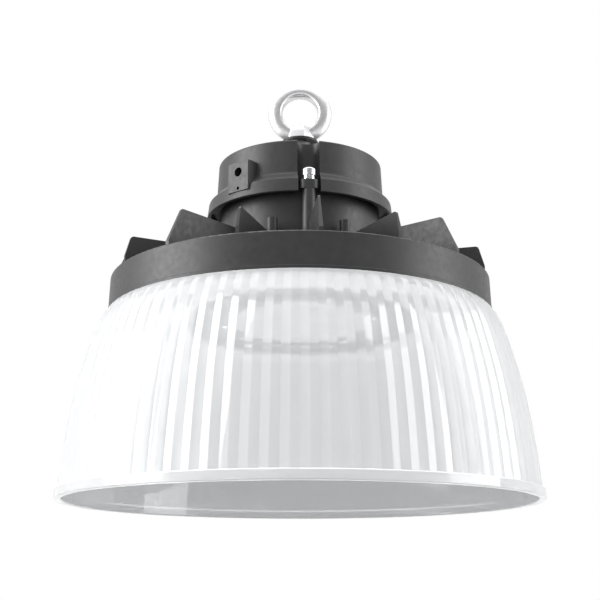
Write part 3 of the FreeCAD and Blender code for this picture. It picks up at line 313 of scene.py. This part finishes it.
def finished_mesh(name, build, smooth_angle=math.radians(32)):
    """Turns a bmesh into a mesh that is shaded smoothly up to an angle."""
    bmesh.ops.recalc_face_normals(build, faces=build.faces)
    for edge in build.edges:
        edge.smooth = len(edge.link_faces) == 2 and edge.calc_face_angle(0) < smooth_angle
    for face in build.faces:
        face.smooth = True
    mesh = bpy.data.meshes.new(name)
    build.to_mesh(mesh)
    build.free()
    return mesh


def skin_loops(build, loops, close=False):
    """Joins loops of equally many points with a skin, and closes it into a ring of loops."""
    rows = [[build.verts.new(point) for point in loop] for loop in loops]
    pairs = list(zip(rows, rows[1:]))
    if close:
        pairs.append((rows[-1], rows[0]))
    for low, high in pairs:
        for i, corner in enumerate(low):
            j = (i + 1) % len(low)
            build.faces.new((corner, low[j], high[j], high[i]))
    return rows


def cap(build, row):
    """Closes a loop of points with a fan round its middle."""
    middle = sum((vertex.co for vertex in row), Vector()) / len(row)
    centre = build.verts.new(middle)
    for i, corner in enumerate(row):
        build.faces.new((corner, row[(i + 1) % len(row)], centre))


def circle_loop(radius, height, points):
    """Points on a level circle; the radius may be a function of the direction."""
    loop = []
    for i in range(points):
        turn = FULL_TURN * i / points
        reach = radius(turn) if callable(radius) else radius
        loop.append(Vector((reach * math.cos(turn), reach * math.sin(turn), height)))
    return loop


def rounded(outline, steps=4):
    """An outline in which a corner given as (x, y, radius) becomes an arc."""
    points = []
    for i, corner in enumerate(outline):
        here = Vector(corner[:2])
        if len(corner) < 3:
            points.append(here)
            continue
        back = Vector(outline[i - 1][:2]) - here
        ahead = Vector(outline[(i + 1) % len(outline)][:2]) - here
        half = back.angle(ahead) / 2
        setback = corner[2] / math.tan(half)
        first = here + back.normalized() * setback
        last = here + ahead.normalized() * setback
        inwards = (back.normalized() + ahead.normalized()).normalized()
        centre = here + inwards * corner[2] / math.sin(half)
        start = first - centre
        sweep = start.angle_signed(last - centre)
        for step in range(steps + 1):
            turned = start.copy()
            turned.rotate(Matrix.Rotation(-sweep * step / steps, 2))
            points.append(centre + turned)
    return points


def lathe(build, outline, points):
    """Turns a closed outline of radius and height about the upright axis."""
    skin_loops(build, [circle_loop(radius, z, points) for radius, z in outline], close=True)


def around(places):
    """Rotations about the upright axis; the first one points to the front station."""
    first = FRONT_STATION - math.pi / 2
    return [Matrix.Rotation(first + FULL_TURN * i / places, 4, "Z") for i in range(places)]


def copies(single, turns, offset):
    """One mesh made of turned copies of a mesh that is first moved by the offset."""
    build = bmesh.new()
    for turn in turns:
        part = single.copy()
        part.transform(turn @ Matrix.Translation(offset))
        build.from_mesh(part)
        bpy.data.meshes.remove(part)
    mesh = bpy.data.meshes.new(single.name + "_all")
    build.to_mesh(mesh)
    build.free()
    return mesh


def dress(node, material):
    """Gives a node of the frame its finish."""
    for material_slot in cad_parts[node].material_slots:
        material_slot.material = material


# ---------------------------------------------------------------------------------------------
# Shade
# ---------------------------------------------------------------------------------------------

# Radius and height of points on the line that each flute crest follows.
CREST_LINE = (
    (0.1880, 0.006),
    (0.1845, 0.040),
    (0.1783, 0.080),
    (0.1683, 0.120),
    (0.1610, 0.140),
    (0.1554, 0.148),
)
# Where the mesh has its columns within one flute, closer together at the crest and the valley.
FLUTE_COLUMNS = (0.0, 0.025, 0.06, 0.28, 0.44, 0.475, 0.5, 0.525, 0.56, 0.72, 0.94, 0.975)
# How the flutes run out below the flange: height under the top, and share of the depth.
FLUTE_END = ((0.0075, 0.9), (0.0055, 0.7), (0.0035, 0.45), (0.002, 0.25), (0.0008, 0.1), (0.0, 0.0))
FLUTE_END_LENGTH = 0.010
FLUTE_SOFTNESS = 0.05
FLANGE_EDGE = 0.0004
OUTSIDE_ROWS = 26
INSIDE_ROWS = 17


def crest_radius(height):
    """The radius of the flute crests at a height, on a smooth curve through the crest line."""
    points = CREST_LINE
    height = min(max(height, points[0][1]), points[-1][1])
    for i in range(len(points) - 1):
        if height <= points[i + 1][1]:
            break
    before, after = points[max(i - 1, 0)], points[min(i + 2, len(points) - 1)]
    (r0, z0), (r1, z1) = points[i], points[i + 1]
    span = z1 - z0
    slope0 = (r1 - before[0]) / (z1 - before[1]) * span
    slope1 = (after[0] - r0) / (after[1] - z0) * span
    t = (height - z0) / span
    return (
        (2 * t**3 - 3 * t**2 + 1) * r0 + (t**3 - 2 * t**2 + t) * slope0
        + (3 * t**2 - 2 * t**3) * r1 + (t**3 - t**2) * slope1
    )


def flute_wave(turn, flutes):
    """From 0 on a crest to 1 in a valley, straight between them and a little rounded at both."""
    phase = ((turn + math.pi / 2) * flutes / FULL_TURN) % 1
    wave = abs(2 * phase - 1)
    if wave > 1 - FLUTE_SOFTNESS:
        wave = wave - (wave - 1 + FLUTE_SOFTNESS) ** 2 / (2 * FLUTE_SOFTNESS)
    if wave < FLUTE_SOFTNESS:
        wave = wave + (FLUTE_SOFTNESS - wave) ** 2 / (2 * FLUTE_SOFTNESS)
    return wave


class HIGHBAY_OT_shade(bpy.types.Operator):
    """Build the fluted bell shade with its lip and flange"""

    bl_idname = "highbay.shade"
    bl_label = "Fluted shade"

    def execute(self, context):
        s = context.scene.highbay_shade
        turns = [
            (flute + part) / s.flute_count * FULL_TURN - math.pi / 2
            for flute in range(s.flute_count) for part in FLUTE_COLUMNS
        ]

        def loop(radius, height, depth=0.0):
            points = []
            for turn in turns:
                reach = radius - depth * flute_wave(turn, s.flute_count)
                points.append(Vector((reach * math.cos(turn), reach * math.sin(turn), height)))
            return points

        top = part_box("shade")[1][2]
        rim = s.rim_radius
        lip = s.lip_height
        edge = s.lip_rounding
        inset = s.flute_depth + s.wall
        first = lip + 0.001
        rise = top - FLUTE_END_LENGTH - lip - 0.001
        heights = [lip + 0.0002]
        heights += [first + rise * i / OUTSIDE_ROWS for i in range(OUTSIDE_ROWS + 1)]
        loops = [loop(crest_radius(z), z, s.flute_depth) for z in heights]
        for drop, fade in FLUTE_END:
            z = top - drop
            loops.append(loop(crest_radius(z), z, s.flute_depth * fade))
        loops.append(loop(s.opening + FLANGE_EDGE, top))
        loops.append(loop(s.opening, top - FLANGE_EDGE))
        loops.append(loop(s.opening, top - s.flange + FLANGE_EDGE))
        loops.append(loop(s.opening + FLANGE_EDGE, top - s.flange))
        for drop in (0.0, 0.0006, 0.0015, 0.003, 0.006):
            z = top - drop
            loops.append(loop(crest_radius(z) - inset, z - s.flange))
        inner_top = top - s.flange - FLUTE_END_LENGTH
        inner_foot = 0.004
        for i in range(INSIDE_ROWS + 1):
            z = inner_top + (inner_foot - inner_top) * i / INSIDE_ROWS
            loops.append(loop(crest_radius(z + s.flange) - inset, z))
        foot = crest_radius(0) - inset
        loops.append(loop(foot + 0.0001, 0.0010))
        loops.append(loop(foot + 0.0008, 0.0))
        lip_outline = [(foot + 0.001, 0.0), (rim, 0.0, edge), (rim, lip, edge), (foot, lip)]
        for reach, z in rounded(lip_outline)[1:-1]:
            loops.append(loop(reach, z))
        build = bmesh.new()
        skin_loops(build, loops, close=True)
        mesh = finished_mesh("shade_fluted", build, math.radians(20))
        plastic = polycarbonate("clear_polycarbonate", s)
        link_piece("shade_fluted", mesh, plastic, "clear_shade", "shade")
        return {"FINISHED"}


# ---------------------------------------------------------------------------------------------
# Castings
# ---------------------------------------------------------------------------------------------


class HIGHBAY_OT_castings(bpy.types.Operator):
    """Powder coat the heat sink, the driver housing and the lens ring"""

    bl_idname = "highbay.castings"
    bl_label = "Castings"

    def execute(self, context):
        s = context.scene.highbay_casting
        dress("heat_sink", powder_coat("powder_coat_sink", s))
        dress("driver_housing", powder_coat("powder_coat_housing", s, 1.05))
        dress("lens_ring", powder_coat("powder_coat_ring", s, 1.1))
        return {"FINISHED"}


# ---------------------------------------------------------------------------------------------
# Lifting eye
# ---------------------------------------------------------------------------------------------


RING_STEPS = 160
WIRE_STEPS = 48
BORE = 0.0005


class HIGHBAY_OT_lifting_eye(bpy.types.Operator):
    """Build the forged lifting eye with its threaded shank, and plate its nut and washer"""

    bl_idname = "highbay.lifting_eye"
    bl_label = "Lifting eye"

    def execute(self, context):
        s = context.scene.highbay_eye
        low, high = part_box("eyebolt")
        centre = high[2] - s.ring_radius - s.wire_radius
        collar_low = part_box("eye_seal")[1][2]
        build = bmesh.new()
        rings = []
        for i in range(RING_STEPS):
            turn = FULL_TURN * i / RING_STEPS
            middle = Vector((math.cos(turn), 0, math.sin(turn)))
            section = []
            for j in range(WIRE_STEPS):
                around_wire = FULL_TURN * j / WIRE_STEPS
                crest = s.wire_skew * math.sin(around_wire) ** 2
                reach = s.ring_radius + s.wire_radius * (math.cos(around_wire) - crest)
                depth = s.wire_radius * math.sin(around_wire)
                section.append(middle * reach + Vector((0, depth, centre)))
            rings.append(section)
        skin_loops(build, rings, close=True)
        levels = (
            (collar_low + 0.0006, s.foot_radius),
            (collar_low + 0.006, (s.foot_radius + s.neck_radius) / 2),
            (collar_low + 0.0112, s.neck_radius),
            (collar_low + 0.0124, s.neck_radius - 0.0012),
        )
        sections = []
        for z, reach in levels:
            turns = [FULL_TURN * i / 6 - FULL_TURN / 4 + s.foot_turn for i in range(6)]
            corners = [(reach * math.cos(turn), reach * math.sin(turn), 0.001) for turn in turns]
            sections.append([Vector((*point, z)) for point in rounded(corners, 3)])
        rows = skin_loops(build, sections)
        cap(build, rows[0])
        cap(build, rows[-1])
        outline = rounded(
            [(0.0008, collar_low), (s.collar_radius, collar_low, 0.0004),
             (s.collar_radius, collar_low + 0.0012, 0.0006), (0.0008, collar_low + 0.0022)], 3
        )
        lathe(build, outline, 96)
        radius = s.wire_radius
        turns = int((collar_low - low[2]) / s.thread_pitch)
        outline = [(BORE, low[2]), (radius - 0.0014, low[2])]
        for i in range(turns):
            z = low[2] + 0.001 + i * s.thread_pitch
            outline += [(radius - 0.0009, z), (radius - 0.0001, z + s.thread_pitch * 0.45)]
            outline += [(radius - 0.0001, z + s.thread_pitch * 0.6)]
        outline += [(radius - 0.0001, collar_low + 0.001), (BORE, collar_low + 0.001)]
        lathe(build, outline, 48)
        mesh = finished_mesh("lifting_eye", build, math.radians(40))
        plate = zinc_plate("bright_zinc_eye", s.metal, s.roughness, metallic=0.85)
        link_piece("lifting_eye", mesh, plate, "steel_eye", "eyebolt")
        turned = zinc_plate("bright_zinc_nut", shaded(s.metal, 0.92), s.roughness + 0.04, (1, 1, 4))
        for node in ("eye_nut", "eye_washer", "eye_lock_nut"):
            dress(node, turned)
        dress("eye_seal", moulded("black_seal", (0.012, 0.012, 0.013), 0.5))
        return {"FINISHED"}


# ---------------------------------------------------------------------------------------------
# Screws and washers
# ---------------------------------------------------------------------------------------------


# Radii of the housing's M6 socket head screws and split washers, and of the circle they stand on.
STATION_CIRCLE = 0.072
STATION_COUNT = 3
SOCKET_SCREW_SHANK = 0.003
SOCKET_SCREW_HEAD = 0.005
SOCKET_DEPTH = 0.0032
SPLIT_WASHER_BORE = 0.0032
SPLIT_WASHER_EDGE = 0.0046
SPLIT_WASHER_STEPS = 48
CROSS_SCREW_STEPS = 48


def hexagon_radius(flats, turn):
    """The distance from a hexagon's middle to its side in a direction."""
    sector = math.pi / 3
    return flats / 2 / math.cos((turn % sector) - sector / 2)


def cross_radius(reach, width, turn):
    """The distance from the middle of a cross recess to its wall in a direction."""
    quarter = (turn % (math.pi / 2)) - math.pi / 4
    off = math.pi / 4 - abs(quarter)
    inner = width / 2
    if math.sin(off) * reach <= inner:
        return reach
    return max(inner / math.sin(off), inner * math.sqrt(2))


def screw_body(plan, points):
    """A closed body skinned over level loops, from the tip to the bottom of the recess."""
    build = bmesh.new()
    rows = skin_loops(build, [circle_loop(radius, z, points) for radius, z in plan])
    cap(build, rows[0])
    cap(build, rows[-1])
    return build


def socket_screw(s, low, high, shank, head, head_low):
    """A socket head screw that stands upright on the axis, head up, with a knurled head."""

    def knurled(turn):
        wave = abs(((turn * s.knurl_count / FULL_TURN) % 1) * 2 - 1)
        return head - s.knurl_depth * wave

    def hexagon(turn):
        return hexagon_radius(s.socket_flats, turn)

    def chamfered_hexagon(turn):
        return hexagon(turn) + 0.0002

    plan = (
        (0.0004, low),
        (shank - 0.0006, low),
        (shank, low + 0.0006),
        (shank, head_low),
        (head - 0.0004, head_low),
        (knurled, head_low + 0.0003),
        (knurled, high - 0.0009),
        (head, high - 0.0007),
        (head - 0.0005, high),
        (chamfered_hexagon, high),
        (hexagon, high - 0.0002),
        (hexagon, high - SOCKET_DEPTH),
    )
    build = screw_body(plan, s.knurl_count * 4)
    return finished_mesh("socket_screw", build, math.radians(35))


def cross_screw(tip, top, shank, head, seat):
    """A pan head screw with a cross recess, head down: built head up from negative heights."""
    thick = top - seat
    recess = head * 0.55

    def cross(reach):
        return lambda turn: cross_radius(reach, head * 0.26, turn)

    plan = (
        (0.0003, tip),
        (shank - 0.0004, tip),
        (shank, tip + 0.0005),
        (shank, seat),
        (head - 0.0002, seat),
        (head, seat + thick * 0.15),
        (head * 0.97, seat + thick * 0.45),
        (head * 0.86, seat + thick * 0.75),
        (head * 0.68, seat + thick * 0.94),
        (cross(recess), top),
        (cross(recess * 0.92), top - thick * 0.25),
        (cross(recess * 0.55), top - thick * 0.6),
    )
    build = screw_body(plan, CROSS_SCREW_STEPS)
    turned_over = Matrix.Rotation(math.pi, 4, "X")
    bmesh.ops.transform(build, matrix=turned_over, verts=build.verts)
    return finished_mesh("cross_screw", build, math.radians(35))


def spring_washer(inner, outer, low, high):
    """A split ring whose two ends stand a little apart."""
    build = bmesh.new()
    sections = []
    thick = (high - low) * 0.72
    for i in range(SPLIT_WASHER_STEPS + 1):
        along = i / SPLIT_WASHER_STEPS
        turn = math.radians(8 + 344 * along)
        out = Vector((math.cos(turn), math.sin(turn), 0))
        base = Vector((0, 0, low + (high - low - thick) * along))
        roof = base + Vector((0, 0, thick))
        bore, edge = out * inner, out * outer
        sections.append([bore + base, edge + base, edge + roof, bore + roof])
    rows = skin_loops(build, sections)
    build.faces.new(rows[0])
    build.faces.new(rows[-1])
    sharp = [edge for edge in build.edges if edge.calc_face_angle(0) > 1]
    bmesh.ops.bevel(build, geom=sharp, offset=0.00015, segments=2, affect="EDGES")
    return finished_mesh("spring_washer", build, math.radians(35))


class HIGHBAY_OT_housing_screws(bpy.types.Operator):
    """Build the socket head screws and spring washers that hold the driver housing"""

    bl_idname = "highbay.housing_screws"
    bl_label = "Housing screws"

    def execute(self, context):
        s = context.scene.highbay_hardware
        low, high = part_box("housing_screws")
        washer_low, washer_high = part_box("housing_spring_washers")
        screw = socket_screw(
            s, low[2], high[2], SOCKET_SCREW_SHANK, SOCKET_SCREW_HEAD, washer_high[2]
        )
        turns = around(STATION_COUNT)
        out = Vector((STATION_CIRCLE, 0, 0))
        plate = zinc_plate("bright_zinc_housing", s.bright, 0.24)
        mesh = copies(screw, turns, out)
        link_piece("housing_socket_screws", mesh, plate, "steel", "housing_screws")
        washer = spring_washer(
            SPLIT_WASHER_BORE, SPLIT_WASHER_EDGE, washer_low[2], washer_high[2]
        )
        mesh = copies(washer, turns, out)
        link_piece("split_washers", mesh, plate, "steel", "housing_spring_washers")
        dress("housing_flat_washers", plate)
        dress("housing_gasket", moulded("silicone_gasket", (0.02, 0.02, 0.022), 0.6))
        return {"FINISHED"}


# ---------------------------------------------------------------------------------------------
# Light engine under the base
# ---------------------------------------------------------------------------------------------


# For each group of screws: what their heads seat on, how many, and the radii of their circle,
# shank and head.
CROSS_SCREWS = (
    ("shade_screws", "shade_ring", 8, 0.135, 0.002, 0.0038),
    ("lens_ring_screws", "lens_ring", 12, 0.0853, 0.0015, 0.0026),
    ("led_board_screws", "led_board", 6, 0.044, 0.0015, 0.0028),
)


class HIGHBAY_OT_light_engine(bpy.types.Operator):
    """Build the cross screws of the underside and finish its board, chips, lens and clamp ring"""

    bl_idname = "highbay.light_engine"
    bl_label = "Light engine"

    def execute(self, context):
        s = context.scene.highbay_hardware
        bright = zinc_plate("bright_zinc_screws", s.bright, 0.26)
        for node, seat_node, places, circle, shank, head in CROSS_SCREWS:
            low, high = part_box(node)
            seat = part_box(seat_node)[0][2]
            screw = cross_screw(-high[2], -low[2], shank, head, -seat)
            mesh = copies(screw, around(places), Vector((circle, 0, 0)))
            link_piece(f"cross_{node}", mesh, bright, "steel", node)
        dress("shade_ring", moulded("white_enamel", (0.82, 0.82, 0.82), 0.3, 0.001, 0.05))
        white, track = (0.80, 0.80, 0.78), (0.72, 0.73, 0.72)
        dress("led_board", solder_mask("white_solder_mask", white, track))
        dress("led_chips", phosphor("yellow_phosphor"))
        dress("lens_cover", opal("opal_plate"))
        dress("lens_gasket", moulded("silicone_cord", (0.03, 0.03, 0.03), 0.55))
        pad_grey = moulded("thermal_pad_grey", (0.33, 0.34, 0.37), 0.7, 0.0012, 0.2)
        dress("thermal_pad", pad_grey)
        dress("led_leads", moulded("red_lead", (0.5, 0.03, 0.03), 0.4))
        return {"FINISHED"}


# ---------------------------------------------------------------------------------------------
# Driver inside the housing
# ---------------------------------------------------------------------------------------------


class HIGHBAY_OT_driver(bpy.types.Operator):
    """Finish the driver board and what stands on it"""

    bl_idname = "highbay.driver"
    bl_label = "Driver"

    def execute(self, context):
        s = context.scene.highbay_hardware
        green, track = (0.02, 0.16, 0.06), (0.05, 0.28, 0.11)
        dress("driver_board", solder_mask("green_solder_mask", green, track))
        ferrite = moulded("ferrite_core", (0.055, 0.055, 0.06), 0.6, 0.0009, 0.2)
        dress("driver_transformer", ferrite)
        dress("driver_choke", moulded("choke_lacquer", (0.30, 0.09, 0.03), 0.35, 0.0009, 0.3))
        dress("driver_capacitors", moulded("capacitor_sleeve", (0.03, 0.035, 0.06), 0.3))
        dress("driver_terminal", moulded("terminal_green", (0.06, 0.28, 0.10), 0.42))
        dress("board_standoffs", zinc_plate("brass_standoff", (0.75, 0.55, 0.25), 0.3))
        dress("board_screws", zinc_plate("bright_zinc_board", s.bright, 0.28))
        return {"FINISHED"}


# ---------------------------------------------------------------------------------------------
# Cable gland
# ---------------------------------------------------------------------------------------------


class HIGHBAY_OT_gland(bpy.types.Operator):
    """Finish the cable gland"""

    bl_idname = "highbay.gland"
    bl_label = "Cable gland"

    def execute(self, context):
        nylon = moulded("black_nylon", (0.022, 0.022, 0.024), 0.45)
        for node in ("gland_body", "gland_cap", "gland_nut"):
            dress(node, nylon)
        dress("gland_seal", moulded("gland_rubber", (0.05, 0.05, 0.05), 0.7))
        return {"FINISHED"}


# ---------------------------------------------------------------------------------------------
# Stage: camera, lamps, backdrop and floor
# ---------------------------------------------------------------------------------------------


SEEING_RAYS = ("Is Camera Ray", "Is Glossy Ray", "Is Transmission Ray")


def is_ray(nodes, links, *names):
    """1 for rays of any of the named kinds."""
    path = nodes.new("ShaderNodeLightPath")
    total = path.outputs[names[0]]
    for name in names[1:]:
        node = nodes.new("ShaderNodeMath")
        node.operation = "MAXIMUM"
        links.new(total, node.inputs[0])
        links.new(path.outputs[name], node.inputs[1])
        total = node.outputs[0]
    return total


def towards(nodes, links, direction, near, far, at_near, at_far):
    """A value that goes from one number to another as a ray turns towards a direction."""
    place = nodes.new("ShaderNodeTexCoord")
    dot = nodes.new("ShaderNodeVectorMath")
    dot.operation = "DOT_PRODUCT"
    dot.inputs[1].default_value = direction
    links.new(place.outputs["Generated"], dot.inputs[0])
    node = nodes.new("ShaderNodeMapRange")
    node.interpolation_type = "SMOOTHSTEP"
    node.inputs["From Min"].default_value = near
    node.inputs["From Max"].default_value = far
    node.inputs["To Min"].default_value = at_near
    node.inputs["To Max"].default_value = at_far
    links.new(dot.outputs["Value"], node.inputs["Value"])
    return node.outputs["Result"]


def chosen(nodes, links, switch, off, on):
    """One of two values, which may be numbers or sockets."""
    node = nodes.new("ShaderNodeMix")
    node.data_type = "FLOAT"
    links.new(switch, node.inputs[0])
    for socket, value in ((node.inputs[2], off), (node.inputs[3], on)):
        if isinstance(value, float):
            socket.default_value = value
        else:
            links.new(value, socket)
    return node.outputs[0]


def surroundings(nodes, links, s):
    """Strength of the background: white to the camera, a studio with a dim front to gloss."""
    front = towards(nodes, links, (0, -1, 0), -0.45, 0.6, 0.9, s.front_level)
    above = towards(nodes, links, (0, 0, 1), 0.5, 0.9, 0.0, s.top_level)
    studio = nodes.new("ShaderNodeMath")
    studio.operation = "ADD"
    links.new(front, studio.inputs[0])
    links.new(above, studio.inputs[1])
    behind = towards(nodes, links, (0, 1, 0), 0.45, 0.9, 1.0, s.behind_level)
    camera, glossy, through = (is_ray(nodes, links, name) for name in SEEING_RAYS)
    soft = chosen(nodes, links, glossy, s.fill_level, studio.outputs[0])
    clear = chosen(nodes, links, through, soft, behind)
    return chosen(nodes, links, camera, clear, 1.0)


def add_lamp(name, power, place, target, width, height):
    """Adds a soft lamp that faces a point."""
    data = bpy.data.lights.new(name, "AREA")
    data.shape = "RECTANGLE"
    data.size = width
    data.size_y = height
    data.energy = power
    lamp = bpy.data.objects.new(name, data)
    bpy.context.scene.collection.objects.link(lamp)
    lamp.location = place
    lamp.rotation_euler = (Vector(target) - Vector(place)).to_track_quat("-Z", "Y").to_euler()


FLOOR_REACH = 6
LIGHT_MIDDLE = 0.15


class HIGHBAY_OT_stage(bpy.types.Operator):
    """Set up the camera, two soft lamps, the white surroundings and a pale floor"""

    bl_idname = "highbay.stage"
    bl_label = "Stage"

    def execute(self, context):
        scene = context.scene
        s = scene.highbay_stage
        scene.view_settings.view_transform = "Standard"
        data = bpy.data.cameras.new("camera")
        data.sensor_width = 36
        data.lens = s.lens
        data.clip_start = 0.01
        camera = bpy.data.objects.new("camera", data)
        scene.collection.objects.link(camera)
        camera.location = (0, -s.distance, -s.drop)
        camera.rotation_euler = (math.pi / 2 + s.pitch, 0, 0)
        scene.camera = camera

        world = bpy.data.worlds.new("white_surroundings")
        scene.world = world
        world.use_nodes = True
        nodes, links = world.node_tree.nodes, world.node_tree.links
        background = nodes["Background"]
        background.inputs["Color"].default_value = (*s.backdrop, 1)
        links.new(surroundings(nodes, links, s), background.inputs["Strength"])

        build = bmesh.new()
        bmesh.ops.create_grid(build, x_segments=8, y_segments=8, size=FLOOR_REACH)
        mesh = bpy.data.meshes.new("floor")
        build.to_mesh(mesh)
        build.free()
        floor = bpy.data.objects.new("floor", mesh)
        scene.collection.objects.link(floor)
        floor.location = (0, 0, -s.floor_drop)
        material = bpy.data.materials.new("pale_floor")
        material.use_nodes = True
        nodes, links = material.node_tree.nodes, material.node_tree.links
        shader = nodes["Principled BSDF"]
        shader.inputs["Base Color"].default_value = (s.floor_tone, s.floor_tone, s.floor_tone, 1)
        shader.inputs["Roughness"].default_value = 0.8
        shader.inputs["Emission Color"].default_value = (*s.backdrop, 1)
        glow = nodes.new("ShaderNodeMath")
        glow.operation = "MULTIPLY"
        glow.inputs[1].default_value = 1 - s.floor_tone
        links.new(is_ray(nodes, links, *SEEING_RAYS), glow.inputs[0])
        links.new(glow.outputs[0], shader.inputs["Emission Strength"])
        floor.data.materials.append(material)

        middle = (0, 0, LIGHT_MIDDLE)
        add_lamp("left_lamp", s.left_power, (-1.35, -0.35, 0.55), middle, 0.9, 1.3)
        add_lamp("right_lamp", s.right_power, (1.45, -0.25, 0.45), middle, 0.8, 1.3)
        return {"FINISHED"}


# ---------------------------------------------------------------------------------------------
# Panel and registration
# ---------------------------------------------------------------------------------------------

GROUPS = (
    ("highbay_shade", ShadeSettings),
    ("highbay_casting", CastingSettings),
    ("highbay_eye", EyeSettings),
    ("highbay_hardware", HardwareSettings),
    ("highbay_stage", StageSettings),
)

OPERATORS = (
    HIGHBAY_OT_stage,
    HIGHBAY_OT_shade,
    HIGHBAY_OT_castings,
    HIGHBAY_OT_lifting_eye,
    HIGHBAY_OT_housing_screws,
    HIGHBAY_OT_light_engine,
    HIGHBAY_OT_driver,
    HIGHBAY_OT_gland,
)


class HIGHBAY_PT_dresser(bpy.types.Panel):
    """Lists the light's pieces and their settings"""

    bl_idname = "HIGHBAY_PT_dresser"
    bl_label = "High Bay Light"
    bl_space_type = "VIEW_3D"
    bl_region_type = "UI"
    bl_category = "High Bay"

    def draw(self, context):
        layout = self.layout
        for operator in OPERATORS:
            layout.operator(operator.bl_idname)
        for group_name, group in GROUPS:
            box = layout.box()
            for name in group.__annotations__:
                box.prop(getattr(context.scene, group_name), name)


def register():
    for group_name, group in GROUPS:
        bpy.utils.register_class(group)
        setattr(bpy.types.Scene, group_name, PointerProperty(type=group))
    for operator in OPERATORS:
        bpy.utils.register_class(operator)
    bpy.utils.register_class(HIGHBAY_PT_dresser)


def unregister():
    bpy.utils.unregister_class(HIGHBAY_PT_dresser)
    for operator in reversed(OPERATORS):
        bpy.utils.unregister_class(operator)
    for group_name, group in reversed(GROUPS):
        delattr(bpy.types.Scene, group_name)
        bpy.utils.unregister_class(group)


def main():
    register()
    for operator in OPERATORS:
        family, name = operator.bl_idname.split(".")
        getattr(getattr(bpy.ops, family), name)()


if __name__ == "__main__":
    main()
